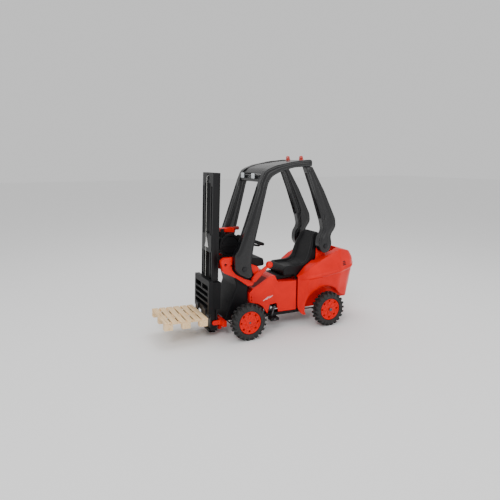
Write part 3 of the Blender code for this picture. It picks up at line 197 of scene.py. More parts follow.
def metal(name, colour, roughness=0.32):
    """Zinc-plated steel with a fine drawn grain and cloudy patches."""
    material, shader, add, feed = shader_of(name)
    where = add("ShaderNodeTexCoord").outputs["Object"]
    stretched = add("ShaderNodeMapping", {"Vector": where, "Scale": (0.06, 1.0, 1.0)}).outputs["Vector"]
    lines = add("ShaderNodeTexNoise", {"Vector": stretched, "Scale": 900.0, "Detail": 4.0})
    cloud = add("ShaderNodeTexNoise", {"Vector": where, "Scale": 45.0, "Detail": 6.0, "Roughness": 0.7})
    base = ramp(add, cloud.outputs["Fac"],
                [(0.30, shade(colour, 0.75)), (0.60, colour), (0.80, shade(colour, 1.15))])
    feed(base, "Base Color")
    rough = add("ShaderNodeMapRange", {"Value": cloud.outputs["Fac"], "To Min": roughness - 0.10,
                                       "To Max": roughness + 0.18})
    feed(rough.outputs["Result"], "Roughness")
    shader.inputs["Metallic"].default_value = 1.0
    bump = add("ShaderNodeBump", {"Height": lines.outputs["Fac"], "Strength": 0.06, "Distance": 0.0008})
    feed(bump.outputs["Normal"], "Normal")
    return material


def pale_wood(name):
    """Pale pine with grain lines along X, darker rings and a fine fibre."""
    material, _, add, feed = shader_of(name)
    where = add("ShaderNodeTexCoord").outputs["Object"]
    stretched = add("ShaderNodeMapping", {"Vector": where, "Scale": (0.9, 14.0, 14.0)}).outputs["Vector"]
    grain = add("ShaderNodeTexNoise", {"Vector": stretched, "Scale": 9.0, "Detail": 7.0, "Roughness": 0.62,
                                       "Distortion": 0.9})
    fibre = add("ShaderNodeTexNoise", {"Vector": stretched, "Scale": 60.0, "Detail": 5.0, "Roughness": 0.7})
    blotch = add("ShaderNodeTexNoise", {"Vector": where, "Scale": 14.0, "Detail": 3.0})
    light, mid, dark = (0.95, 0.70, 0.41), (0.86, 0.57, 0.28), (0.50, 0.27, 0.09)
    rings = ramp(add, grain.outputs["Fac"], [(0.28, dark), (0.42, mid), (0.56, light), (0.74, mid)])
    tint = ramp(add, blotch.outputs["Fac"], [(0.30, grey(0.86)), (0.70, grey(1.10))])
    mixed = add("ShaderNodeMix", {"Factor": 0.75, "A": rings, "B": tint},
                data_type="RGBA", blend_type="MULTIPLY")
    feed(mixed.outputs["Result"], "Base Color")
    rough = add("ShaderNodeMapRange", {"Value": fibre.outputs["Fac"], "To Min": 0.55, "To Max": 0.82})
    feed(rough.outputs["Result"], "Roughness")
    bump = add("ShaderNodeBump", {"Height": fibre.outputs["Fac"], "Strength": 0.22, "Distance": 0.0012})
    feed(bump.outputs["Normal"], "Normal")
    return material


def lens(name, colour, roughness=0.12):
    """A moulded lamp: glossy skin over a faint pattern of prisms."""
    material, shader, add, feed = shader_of(name)
    where = add("ShaderNodeTexCoord").outputs["Object"]
    prisms = add("ShaderNodeTexVoronoi", {"Vector": where, "Scale": 260.0})
    base = ramp(add, prisms.outputs["Distance"], [(0.0, shade(colour, 1.1)), (0.7, shade(colour, 0.72))])
    feed(base, "Base Color")
    rough = add("ShaderNodeMapRange", {"Value": prisms.outputs["Distance"], "To Min": roughness,
                                       "To Max": roughness + 0.15})
    feed(rough.outputs["Result"], "Roughness")
    bump = add("ShaderNodeBump", {"Height": prisms.outputs["Distance"], "Strength": 0.12, "Distance": 0.001})
    feed(bump.outputs["Normal"], "Normal")
    shader.inputs["Coat Weight"].default_value = 0.6
    return material


def braid(name):
    """Pale braided cord: two crossing sets of strands."""
    material, _, add, feed = shader_of(name)
    where = add("ShaderNodeTexCoord").outputs["Object"]
    strands = add("ShaderNodeTexWave", {"Vector": where, "Scale": 160.0, "Distortion": 1.5, "Detail": 2.0},
                  bands_direction="DIAGONAL")
    base = ramp(add, strands.outputs["Fac"], [(0.2, (0.34, 0.34, 0.32)), (0.8, (0.66, 0.66, 0.63))])
    feed(base, "Base Color")
    rough = add("ShaderNodeMapRange", {"Value": strands.outputs["Fac"], "To Min": 0.7, "To Max": 0.9})
    feed(rough.outputs["Result"], "Roughness")
    bump = add("ShaderNodeBump", {"Height": strands.outputs["Fac"], "Strength": 0.5, "Distance": 0.0006})
    feed(bump.outputs["Normal"], "Normal")
    return material


FINISHES = {
    "red_plastic": plastic("red_shell", RED, roughness=0.30, gloss=0.18,
                           grain=380.0, grain_depth=0.02, wear=0.15),
    "black_plastic": plastic("black_moulding", BLACK, roughness=0.50, gloss=0.22,
                             grain=520.0, grain_depth=0.16, wear=0.5),
    "guard_plastic": plastic("guard_moulding", BLACK, roughness=0.28, gloss=0.42,
                             grain=460.0, grain_depth=0.012, wear=0.2, coat=0.15),
    "mast_plastic": plastic("mast_moulding", BLACK, roughness=0.38, gloss=0.28,
                            grain=460.0, grain_depth=0.07, wear=0.6),
    "seat_plastic": plastic("seat_moulding", BLACK, roughness=0.46, gloss=0.25,
                            grain=700.0, grain_depth=0.25, wear=0.5),
    "tyre_rubber": rubber("tyre_compound"),
    "steel": metal("dark_zinc_plate", (0.13, 0.13, 0.14)),
    "frame_paint": plastic("frame_powder_coat", (0.010, 0.010, 0.012), roughness=0.48, gloss=0.3,
                           grain=900.0, grain_depth=0.2, wear=0.4),
    "fork_paint": plastic("fork_enamel", (0.008, 0.008, 0.010), roughness=0.38, gloss=0.3,
                          grain=600.0, grain_depth=0.08, wear=0.9),
    "lamp_lens": lens("pale_lamp", (0.72, 0.76, 0.80), 0.14),
    "beacon_lens": lens("red_lamp", (0.62, 0.022, 0.006)),
    "rope": braid("lift_cord"),
    # The grip's red is darker than the shell red, as painted shade on the knob.
    "grip_plastic": plastic("grip_moulding_painted_shade", (0.20, 0.008, 0.008), roughness=0.45, gloss=0.3,
                            grain=600.0, grain_depth=0.15, wear=0.3),
    "pallet_wood": pale_wood("pallet_pine"),
}
PALE_FILM = plastic("pale_film", grey(0.70), roughness=0.35, gloss=0.3,
                    grain=500.0, grain_depth=0.04, wear=0.3)
# A darker copy of the shell red, as painted shade on the body's sloping top, its inner webs and the seam
# linings.
PAINTED_SHADE_RED = plastic("red_shell_painted_shade", shade(RED, 0.32), roughness=0.5, gloss=0.25,
                   grain=380.0, grain_depth=0.08, wear=0.3)


def dress_frame():
    """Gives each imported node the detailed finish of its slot."""
    for name, obj in frame["nodes"].items():
        for material_slot in obj.material_slots:
            material_slot.material = FINISHES[SLOTS[name]]


# The stage

LIGHTS_AIM = Vector((0, 0, 0.45))


def stage():
    """A pale floor, soft studio lights, an even backdrop and the camera."""
    bpy.ops.mesh.primitive_plane_add(size=40, location=(0, 0, -0.0006))
    floor = bpy.context.object
    floor.name = "floor"
    material, shader, *_ = shader_of("pale_floor")
    shader.inputs["Base Color"].default_value = (0.93, 0.93, 0.93, 1)
    shader.inputs["Roughness"].default_value = 0.9
    shader.inputs["Specular IOR Level"].default_value = 0.1
    floor.data.materials.append(material)
    world = bpy.data.worlds.new("studio")
    bpy.context.scene.world = world
    world.use_nodes = True
    world.node_tree.nodes["Background"].inputs["Color"].default_value = (1, 1, 1, 1)
    world.node_tree.nodes["Background"].inputs["Strength"].default_value = 0.8
    for name, at, size, power in (
        ("key", (2.8, -2.4, 3.2), 1.6, 70),
        ("fill", (3.4, 1.6, 1.4), 1.8, 22),
        ("top", (-0.4, 0.3, 3.4), 2.2, 40),
    ):
        light = bpy.data.lights.new(name, "AREA")
        light.energy = power
        light.size = size
        obj = bpy.data.objects.new(name, light)
        bpy.context.scene.collection.objects.link(obj)
        obj.location = at
        aim = LIGHTS_AIM - Vector(at)
        obj.rotation_euler = aim.to_track_quat("-Z", "Y").to_euler()
    camera = bpy.data.cameras.new("camera")
    camera.lens = CAMERA_LENS
    camera.sensor_width = 36
    holder = bpy.data.objects.new("camera", camera)
    bpy.context.scene.collection.objects.link(holder)
    holder.location = CAMERA_AT
    holder.rotation_euler = (math.radians(90) - CAMERA_PITCH, 0, CAMERA_AZIMUTH)
    bpy.context.scene.camera = holder


# Making pieces

def mesh_object(name, bm, material, smooth_angle):
    """Turns the bmesh into an object with one material, smooth up to an angle in degrees."""
    mesh = bpy.data.meshes.new(name)
    bm.to_mesh(mesh)
    bm.free()
    mesh.materials.append(material)
    mesh.shade_smooth()
    mesh.set_sharp_from_angle(angle=math.radians(smooth_angle))
    obj = bpy.data.objects.new(name, mesh)
    bpy.context.scene.collection.objects.link(obj)
    return obj


def new_piece(name, bm, node, smooth_angle=35):
    """Makes a piece from the bmesh that stands for a CAD node."""
    obj = mesh_object(name, bm, FINISHES[SLOTS[node]], smooth_angle)
    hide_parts(node)
    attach(obj, NODE_BODY[node])
    return obj


def added_piece(name, bm, body, slot, smooth_angle=35, material=None):
    """Makes a small extra piece that rides on a body and stands for no node."""
    obj = mesh_object(name, bm, material or FINISHES[slot], smooth_angle)
    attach(obj, body)


def welded(node):
    """The node's shape with its seams closed and its flat faces whole."""
    bm = bmesh.new()
    bm.from_mesh(frame["nodes"][node].data)
    bmesh.ops.remove_doubles(bm, verts=bm.verts, dist=2e-5)
    bmesh.ops.dissolve_limit(bm, angle_limit=math.radians(0.8), verts=bm.verts, edges=bm.edges)
    return bm


def edged(node, width, segments=3, carve=None, second=None, shows_second=None):
    """A moulded version of a node: every hard edge gets a small radius.

    The carve function may add relief first, and shows_second picks the faces that take the second material.
    """
    bm = welded(node)
    if carve:
        carve(bm)
    if second:
        for face in bm.faces:
            face.material_index = int(shows_second(face))
    obj = new_piece(f"{node}_moulded", bm, node)
    if second:
        obj.data.materials.append(second)
    radius_edges(obj, width, segments, 28).harden_normals = True
    return obj


def radius_edges(obj, width, segments, angle):
    """Bevels each edge that is sharper than an angle in degrees, and returns the modifier."""
    bevel = obj.modifiers.new("edge_radius", "BEVEL")
    bevel.width = width
    bevel.segments = segments
    bevel.limit_method = "ANGLE"
    bevel.angle_limit = math.radians(angle)
    return bevel


# A broad face's normal has at least this share along X.
BROAD_FACE = 0.55
CROWN_REACH = 0.030
CROWN_DROP = 0.0052
FLANGE_WIDTH = 0.0090
FLANGE_LINE_DEPTH = 0.0024
FLANGE_LINE_HALF_WIDTH = 0.0045
BOLT_CLEARANCE = 0.012
CROWN_SMOOTHING = 14


def crown(bm):
    """Crowns a plate's two broad faces and scores a line that leaves a flange along its edges.

    The edges of the bolt holes don't count as edges of the plate.
    """
    bolts = [centre_of(f"{end}_bolt_left").yz for end in ("front", "rear")]
    rim_points = [
        vert.co for vert in bm.verts
        if abs(vert.normal.x) < BROAD_FACE and min((vert.co.yz - at).length for at in bolts) > BOLT_CLEARANCE
    ]
    tree = KDTree(len(rim_points))
    for k, co in enumerate(rim_points):
        tree.insert((0, co.y, co.z), k)
    tree.balance()
    moves = []
    for vert in bm.verts:
        if abs(vert.normal.x) < BROAD_FACE:
            continue
        away = tree.find((0, vert.co.y, vert.co.z))[2]
        line = max(0.0, 1 - abs(away - FLANGE_WIDTH) / FLANGE_LINE_HALF_WIDTH)
        sunk = CROWN_DROP * (1 - smoothstep(away / CROWN_REACH)) + FLANGE_LINE_DEPTH * line
        moves.append((vert, sunk * (1 if vert.normal.x > 0 else -1)))
    for vert, sunk in moves:
        vert.co.x -= sunk
    for _ in range(CROWN_SMOOTHING):
        bmesh.ops.smooth_vert(bm, verts=[vert for vert, _ in moves], factor=0.5, use_axis_x=True)


def rounded(node, voxel, rounds, reshape=None, crowned=False):
    """A blow-moulded version of a node: a fine skin whose corners have melted into broad radii."""
    source = bpy.data.meshes.new("source")
    bm = welded(node)
    bm.to_mesh(source)
    bm.free()
    blank = bpy.data.objects.new("source", source)
    bpy.context.scene.collection.objects.link(blank)
    remesh = blank.modifiers.new("skin", "REMESH")
    remesh.mode = "VOXEL"
    remesh.voxel_size = voxel
    soften = blank.modifiers.new("radii", "SMOOTH")
    soften.factor = 0.5
    soften.iterations = rounds
    bpy.context.view_layer.update()
    graph = bpy.context.evaluated_depsgraph_get()
    skin = bpy.data.meshes.new_from_object(blank.evaluated_get(graph))
    bpy.data.objects.remove(blank)
    bm = bmesh.new()
    bm.from_mesh(skin)
    bpy.data.meshes.remove(skin)
    if crowned:
        bm.normal_update()
        crown(bm)
    if reshape:
        for vert in bm.verts:
            vert.co = reshape(vert.co)
    return new_piece(f"{node}_moulded", bm, node, smooth_angle=180)


def sink_faces(bm, chosen, border, depth):
    """Sinks a panel into each flat face that the test picks, inside a border."""
    faces = [face for face in bm.faces if chosen(face)]
    bmesh.ops.inset_individual(bm, faces=faces, thickness=border, depth=-depth, use_even_offset=True)


def turned(bm, profile, origin, axis, steps):
    """Adds a ring swept from a closed profile of (radius, along) points about an axis through the origin."""
    rows = []
    for k in range(steps):
        angle = 2 * math.pi * k / steps
        rows.append([bm.verts.new(spun(origin, axis, r, along, angle)) for r, along in profile])
    for k, row in enumerate(rows):
        join_rings(bm, row, rows[(k + 1) % steps])


def join_rings(bm, ring, after):
    """Adds the band of faces between two rings of as many points."""
    for i in range(len(ring)):
        j = (i + 1) % len(ring)
        bm.faces.new((ring[i], ring[j], after[j], after[i]))


def lofted(bm, rings):
    """Adds the bands between neighbouring rings, and a cap on each end."""
    for ring, after in zip(rings, rings[1:]):
        join_rings(bm, ring, after)
    bm.faces.new(rings[0][::-1])
    bm.faces.new(rings[-1])


def spun(origin, axis, radius, along, angle):
    """A point at a radius, an angle and a distance along the axis."""
    u, v = radius * math.cos(angle), radius * math.sin(angle)
    offset = {"X": (along, u, v), "Y": (u, along, v), "Z": (u, v, along)}[axis]
    return Vector(origin) + Vector(offset)


def outward(bm):
    """Turns every face outwards."""
    bmesh.ops.recalc_face_normals(bm, faces=bm.faces)
    return bm


def block(bm, low, high, chamfer=0.0):
    """Adds a box, with chamfered edges if a chamfer is given."""
    verts = bmesh.ops.create_cube(bm, size=1.0)["verts"]
    low, high = Vector(low), Vector(high)
    size, middle = high - low, (low + high) / 2
    for vert in verts:
        vert.co = Vector((vert.co[i] * size[i] + middle[i] for i in range(3)))
    if chamfer:
        edges = list({edge for vert in verts for edge in vert.link_edges})
        bmesh.ops.bevel(bm, geom=edges, offset=chamfer, segments=2, affect="EDGES", profile=0.5)


# Wheels

LUGS = 22
LUG_HALF_ANGLE = 0.062
LUG_LEAN = 0.10
TREAD_DEPTH = 0.0095
BEAD_RADIUS = 0.0660
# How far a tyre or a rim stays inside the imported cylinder.
WHEEL_INSET = 0.0004


def tyre(node, lean):
    """A lugged tyre: a carcass with ribbed sides and two rows of blocks that lean back from the middle."""
    low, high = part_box(node)
    centre, half = (low + high) / 2, (high.x - low.x) / 2
    radius = (high.z - low.z) / 2 - WHEEL_INSET
    base = radius - TREAD_DEPTH
    # Each point is a radius and a share of the half width, from the bead over the side to the tread.
    side_profile = [
        (BEAD_RADIUS, 0.40), (BEAD_RADIUS, 0.80), (0.068, 0.93), (0.0725, 0.955), (0.0740, 0.935),
        (0.0755, 0.960), (0.0790, 0.955), (0.0805, 0.915), (0.0840, 0.900), (0.0880, 0.880),
        (base - 0.0025, 0.82), (base, 0.70), (base, 0.0),
    ]
    profile = [(r, x * half) for r, x in side_profile]
    profile += [(r, -x * half) for r, x in reversed(side_profile[:-1])]
    bm = bmesh.new()
    turned(bm, profile, centre, "X", 132)
    # Each point is a share of the half width and a radius, round one tread block.
    block_profile = [
        (0.03, base - 0.003), (0.03, radius - 0.0003), (0.62, radius), (0.86, radius - 0.0022),
        (0.99, radius - 0.0105), (0.995, 0.0820), (0.93, 0.0790), (0.78, base - 0.008),
    ]
    for row, sign in enumerate((1, -1)):
        for k in range(LUGS):
            middle = 2 * math.pi * (k + 0.5 * row) / LUGS
            add_lug(bm, centre, block_profile, half * sign, middle, lean)
    obj = new_piece(f"{node}_lugged", outward(bm), node, smooth_angle=40)
    radius_edges(obj, 0.0009, 2, 45)


def add_lug(bm, centre, block_profile, half, middle, lean):
    """One tread block that wraps over the shoulder and widens towards it."""
    ends = []
    for edge in (-1, 1):
        ring = []
        for share, r in block_profile:
            width = LUG_HALF_ANGLE * (0.80 + 0.25 * share)
            angle = middle + edge * width + lean * LUG_LEAN * (share - 0.5)
            ring.append(bm.verts.new(spun(centre, "X", r, half * share, angle)))
        ends.append(ring)
    lofted(bm, ends)


HOLES = 8
HOLE_CIRCLE = 0.0505
HOLE_RADIUS = 0.0056
HOLE_LIP_RADIUS = 0.0078
POCKET_CIRCLE = 0.0375
POCKET_RADIUS = 0.0092


def dish(r, angle):
    """How far the wheel's face stands in front of its web, at a radius and an angle."""
    def step(x, at, width):
        return smoothstep((x - at) / width + 0.5)

    lip = 0.0085 * step(r, 0.0585, 0.004)
    hub = 0.0065 * (1 - step(r, 0.0215, 0.004))
    hub_well = 0.0030 * (1 - step(r, 0.0135, 0.002))
    axle_end = 0.0030 * (1 - step(r, 0.0065, 0.0016))
    depth = lip + hub - hub_well + axle_end
    sector = 2 * math.pi / HOLES
    from_hole = (angle + sector / 2) % sector - sector / 2
    hole = math.hypot(r - HOLE_CIRCLE, HOLE_CIRCLE * from_hole)
    depth -= 0.0120 * (1 - step(hole, HOLE_RADIUS, 0.0012))
    depth += 0.0012 * (1 - step(hole, HOLE_LIP_RADIUS, 0.0012))
    from_pocket = angle % sector - sector / 2
    pocket = math.hypot((r - POCKET_CIRCLE) * 0.9, POCKET_CIRCLE * from_pocket)
    depth -= 0.0060 * (1 - step(pocket, POCKET_RADIUS, 0.0026))
    return depth


RIM_RINGS = 74
RIM_SECTORS = 240
# The radius of the tiny cap in the middle of the face and of the back.
RIM_EYE = 0.0005


def rim(node, side):
    """A moulded wheel: a face with a lip, hub, eight holes and eight pockets, a barrel and a plain back."""
    low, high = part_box(node)
    centre, radius = (low + high) / 2, (high.z - low.z) / 2 - WHEEL_INSET
    face_x = (high.x if side > 0 else low.x) - side * 0.0135
    back_x = low.x if side > 0 else high.x
    well_x = face_x - side * 0.009
    angles = [2 * math.pi * k / RIM_SECTORS for k in range(RIM_SECTORS)]
    bm = bmesh.new()

    def ring(r, x, relief=0):
        """A ring of points that follows the dish by a share."""
        axle = (0, centre.y, centre.z)
        return [bm.verts.new(spun(axle, "X", r, x + relief * dish(r, angle), angle)) for angle in angles]

    radii = [RIM_EYE + (radius - RIM_EYE) * k / (RIM_RINGS - 1) for k in range(RIM_RINGS)]
    rings = [ring(r, face_x, side) for r in radii]
    barrel = [(radius, back_x), (radius - 0.004, back_x), (radius - 0.006, well_x)]
    hub_back = [(0.016, well_x), (0.014, back_x), (RIM_EYE, back_x)]
    rings += [ring(r, x) for r, x in barrel + hub_back]
    lofted(bm, rings)
    obj = new_piece(f"{node}_moulded", outward(bm), node, smooth_angle=55)
    # The floors of the eight holes take the black moulding as painted shade inside the holes.
    obj.data.materials.append(FINISHES["black_plastic"])
    hole_floor = face_x - side * 0.0065
    for face in obj.data.polygons:
        distance = math.hypot(face.center.y - centre.y, face.center.z - centre.z)
        if 0.044 < distance < 0.057 and -0.008 < side * (face.center.x - hole_floor) < 0:
            face.material_index = 1


# Load, rope and lamps

# The pallet, in the mast's own frame.
PALLET_REAR = -0.0560
PALLET_LENGTH = 0.241
BOARDS = 6
BOARD_WIDTH = 0.0330
BEARER_ROWS = (-0.118, 0.0, 0.118)
BLOCKS_PER_ROW = 3
DECK_Z = (0.0424, 0.0488)
BEARER_Z = (0.0365, 0.0423)
BLOCK_Z = (0.0042, 0.0364)


def wood_block(bm, x_range, y_range, z_range, rng):
    """A sawn board with worn edges that is never quite true."""
    slack = [rng.uniform(-0.0004, 0.0004) for _ in range(2)]
    low, high = zip(x_range, y_range, z_range)
    block(bm, (low[0] + slack[0], low[1], low[2]), (high[0] + slack[1], high[1], high[2]), 0.0011)


def pallet():
    """A nailed pine pallet: six deck boards across three bearers on nine blocks."""
    low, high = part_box("pallet")
    half = (high.x - low.x) / 2
    rng = random.Random(7)
    pitch = (PALLET_LENGTH - BOARD_WIDTH) / (BOARDS - 1)
    nail_profile = [(0.0013, -0.001), (0.0013, 0.0001), (0.0006, 0.0002), (0.0006, -0.001)]
    boards, nails = bmesh.new(), bmesh.new()
    for k in range(BOARDS):
        y = PALLET_REAR - pitch * k
        wood_block(boards, (-half, half), (y - BOARD_WIDTH, y), DECK_Z, rng)
        for x in BEARER_ROWS:
            for dx in (-0.007, 0.007):
                nail_x = x + dx + rng.uniform(-0.001, 0.001)
                nail_y = y - BOARD_WIDTH / 2 + rng.uniform(-0.006, 0.006)
                turned(nails, nail_profile, (nail_x, nail_y, DECK_Z[1]), "Z", 12)
    for x in BEARER_ROWS:
        ends = (PALLET_REAR - PALLET_LENGTH + 0.001, PALLET_REAR - 0.001)
        wood_block(boards, (x - 0.015, x + 0.015), ends, BEARER_Z, rng)
        for k in range(BLOCKS_PER_ROW):
            y = PALLET_REAR - 0.0005 - k * (PALLET_LENGTH - 0.047) / (BLOCKS_PER_ROW - 1)
            wood_block(boards, (x - 0.0155, x + 0.0155), (y - 0.046, y), BLOCK_Z, rng)
    for bm in (boards, nails):
        onto_mast(bm)
    new_piece("pallet_boards", outward(boards), "pallet", smooth_angle=30)
    added_piece("pallet_nails", outward(nails), "pallet", "steel")


ROPE_STRANDS = 3
# The length of rope in which a strand goes once round.
ROPE_LAY = 0.014
ROPE_STEPS = 260
STRAND_SIDES = 8


def rope_run(name, node):
    """A straight run of twisted cord between the ends of its node."""
    low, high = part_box(node)
    middle_x = (low.x + high.x) / 2
    top = Vector((middle_x, high.y - 0.0015, high.z))
    bottom = Vector((middle_x, low.y + 0.0015, low.z))
    along = bottom - top
    length = along.length
    radius = (high.x - low.x) / 2
    across = along.normalized().cross(SIDEWAYS)

    def around(middle, angle, share):
        """A point beside the middle, at an angle and a share of the cord's radius."""
        return middle + (SIDEWAYS * math.cos(angle) + across * math.sin(angle)) * radius * share

    bm = bmesh.new()
    for strand in range(ROPE_STRANDS):
        rings = []
        for i in range(ROPE_STEPS + 1):
            t = i / ROPE_STEPS
            turn = 2 * math.pi * (length / ROPE_LAY * t + strand / ROPE_STRANDS)
            middle = around(top + along * t, turn, 0.48)
            sides = [2 * math.pi * k / STRAND_SIDES for k in range(STRAND_SIDES)]
            rings.append([bm.verts.new(around(middle, angle, 0.52)) for angle in sides])
        lofted(bm, rings)
    obj = new_piece(name, outward(bm), node, smooth_angle=60)
    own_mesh(obj)


BEACON_RIBS = 5


def beacon(word):
    """A warning lamp: a ribbed red dome over a collar."""
    node = f"beacon_{word}"
    centre = centre_of(node)
    base = Vector((centre.x, centre.y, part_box(node)[0].z + 0.0013))
    lean = Matrix.Rotation(math.radians(5.5), 4, "X")
    bm = bmesh.new()
    profile = [(0.0001, 0.0262), (0.0040, 0.0258), (0.0078, 0.0240), (0.0102, 0.0205), (0.0112, 0.0150)]
    for k in range(BEACON_RIBS):
        z = 0.0140 - 0.0016 * k
        profile += [(0.0117, z), (0.0117, z - 0.0006), (0.0112, z - 0.0009)]
    profile += [(0.0118, 0.0058), (0.0136, 0.0052), (0.0138, 0.0010), (0.0130, 0.0003), (0.0001, 0.0003)]
    turned(bm, profile, (0, 0, 0), "Z", 56)
    bmesh.ops.remove_doubles(bm, verts=bm.verts, dist=0.00025)
    bmesh.ops.transform(bm, matrix=Matrix.Translation(base) @ lean, verts=bm.verts)
    new_piece(f"{node}_dome", outward(bm), node, smooth_angle=45)


LENS_RIBS = 6
BEZEL_HALF = 0.001


def headlight(word):
    """A square lamp: a pale ribbed lens in a thin bezel."""
    node = f"headlight_{word}"
    low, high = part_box(node)
    middle = (low + high) / 2
    lens_inset = 0.0010
    rib_inset = 0.0052
    bm = bmesh.new()
    block(bm, (low.x + lens_inset, low.y, low.z + lens_inset),
          (high.x - lens_inset, high.y - 0.003, high.z - lens_inset), 0.0030)
    for k in range(LENS_RIBS):
        z = low.z + 0.0062 + k * 0.0036
        block(bm, (low.x + rib_inset, low.y - 0.0003, z - 0.0011),
              (high.x - rib_inset, low.y + 0.001, z + 0.0011), 0.0005)
    new_piece(f"{node}_lens", outward(bm), node, smooth_angle=40)
    bezel = bmesh.new()
    front, back = high.y - 0.35 * (high.y - low.y), high.y - 0.0005
    for sign in (-1, 1):
        x = middle.x + sign * ((high.x - low.x) / 2 - BEZEL_HALF)
        block(bezel, (x - BEZEL_HALF, front, low.z), (x + BEZEL_HALF, back, high.z), 0.0005)
        z = middle.z + sign * ((high.z - low.z) / 2 - BEZEL_HALF)
        block(bezel, (low.x, front, z - BEZEL_HALF), (high.x, back, z + BEZEL_HALF), 0.0005)
    added_piece(f"{node}_bezel", outward(bezel), NODE_BODY[node], "lamp_lens",
                material=FINISHES["guard_plastic"])


SCREW_RINGS = 9
SCREW_SECTORS = 32


def screw(name, at, direction, radius, body):
    """A small domed screw head with a cross recess."""
    bm = bmesh.new()
    rings = []
    for i in range(SCREW_RINGS):
        r = radius * (0.02 + 0.98 * i / (SCREW_RINGS - 1))
        ring = []
        for k in range(SCREW_SECTORS):
            angle = 2 * math.pi * k / SCREW_SECTORS
            x, y = r * math.cos(angle), r * math.sin(angle)
            in_cross = min(abs(x), abs(y)) < radius * 0.12 and r < radius * 0.62
            dome = 0.42 * (1 - (r / radius) ** 2) + 0.12
            ring.append(bm.verts.new((x, y, radius * (dome - (0.28 if in_cross else 0)))))
        rings.append(ring)
    rings.append([bm.verts.new((vert.co.x, vert.co.y, -0.0008)) for vert in rings[-1]])
    lofted(bm, rings)
    turn = Vector(direction).to_track_quat("Z", "Y").to_matrix().to_4x4()
    bmesh.ops.transform(bm, matrix=Matrix.Translation(at) @ turn, verts=bm.verts)
    added_piece(name, outward(bm), body, "steel", smooth_angle=50)


# Reshaping of the moulded body pieces, in metres from the front axle and from the ground

HOOD_HALF_WIDTH = 0.188
HOOD_TAIL = 0.600


def hood_crease(y):
    """The height of the hood's side crease, which rises towards the tail."""
    return 0.292 + 0.110 * (y - 0.367)


def hood_skin(point):
    """Tucks the hood in below its side crease, leans it in above the crease and rounds its tail."""
    y, z = point.y - FRONT_AXLE.y, point.z
    crease = hood_crease(y)
    if z < crease:
        tuck = 0.018 * smoothstep((crease - z) / 0.130) + 0.0085 * smoothstep((crease - z) / 0.014)
    else:
        tuck = 0.014 * ((z - crease) / 0.13) ** 1.6 + 0.0038 * smoothstep((z - crease - 0.004) / 0.010)
    fade = smoothstep((y - 0.352) / 0.05)
    share = 1 - fade * tuck / HOOD_HALF_WIDTH * smoothstep((abs(point.x) - 0.060) / 0.06)
    tail = HOOD_TAIL + FRONT_AXLE.y
    if point.y <= tail:
        return Vector((point.x * share, point.y, z))
    rounding = 0.020 * smoothstep((z - 0.372) / 0.062) + 0.012 * smoothstep((0.235 - z) / 0.11)
    along = tail + (point.y - tail) * (1 - (tuck + rounding) / 0.21)
    return Vector((point.x * share, along, z))


def seat_skin(point):
    """Narrows the seat's back towards its top."""
    rise = smoothstep((point.z - 0.40) / 0.15)
    width = 1 - 0.20 * rise * rise
    return Vector((point.x * width, point.y, point.z))


def slopes_forward(face):
    """True on the top of the centre body, which slopes down towards the front."""
    return face.normal.z > 0.6 and face.normal.y < -0.3


def sunk_panel(bm):
    """Sinks the sloping top of the centre body inside a rim."""
    sink_faces(bm, lambda face: face.calc_area() > 0.01 and slopes_forward(face), 0.012, 0.0030)


def mast_grooves(bm):
    """Sinks a groove into each long outer face of the mast, which leaves a flange along both edges."""
    outer_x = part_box("mast_frame")[1].x

    def outer(face):
        on_side = abs(face.normal.x) > 0.99 and abs(abs(face.calc_center_median().x) - outer_x) < 0.002
        return on_side and face.calc_area() > 0.015

    sink_faces(bm, outer, 0.0065, 0.0022)


def recess_floor(face):
    """True on the floor of the recess round a pillar's foot, whose black moulding is painted shade in the
    recess.
    """
    return abs(abs(face.calc_center_median().x) - 0.1140) < 0.0006 and abs(face.normal.x) > 0.9


def shaded_shell(face):
    """True on the sloping top panel and the inner webs of the centre body, which take the darker red as
    painted shade.
    """
    inside = abs(face.calc_center_median().x) < 0.0645 and abs(face.normal.x) > 0.9
    return inside or (slopes_forward(face) and face.calc_area() > 0.006)


# Added pieces

def louvre_shade_panel():
    """A thin black panel behind the slots of the carriage, as painted shade seen through them."""
    bm = bmesh.new()
    block(bm, (-0.1045, -0.0246, 0.034), (0.1045, -0.0241, 0.236))
    onto_mast(bm)
    added_piece("louvre_shade_panel", outward(bm), "carriage", "black_plastic")


def cover_mark():
    """A plain pale triangle on the mast cover."""
    to_mast = mast_matrix().inverted()
    cover = frame["nodes"]["mast_cover"].data
    front = min((to_mast @ vert.co).y for vert in cover.vertices)
    bm = bmesh.new()
    flat_plate(bm, [(-0.026, 0.420), (0.026, 0.420), (0.0, 0.478)], front, 0.0004)
    onto_mast(bm)
    added_piece("mast_cover_mark", outward(bm), "mast", "lamp_lens", material=PALE_FILM)


def flat_plate(bm, outline, front, thickness):
    """Adds a thin plate in the mast frame's XZ plane that stands out in front of a face."""
    lofted(bm, [[bm.verts.new((x, y, z)) for x, z in outline] for y in (front - thickness, front + 0.0002)])


def skin_of(obj):
    """A lookup of a piece's surface: the point where a line along X from outside one side first meets it."""
    tree = BVHTree.FromObject(obj, bpy.context.evaluated_depsgraph_get())

    def at(side, y, z):
        return tree.ray_cast(Vector((side * 1.0, y, z)), Vector((-side, 0, 0)))[0]

    return at


INLAY_STEPS = 12
INLAY_ROOT = -0.0004


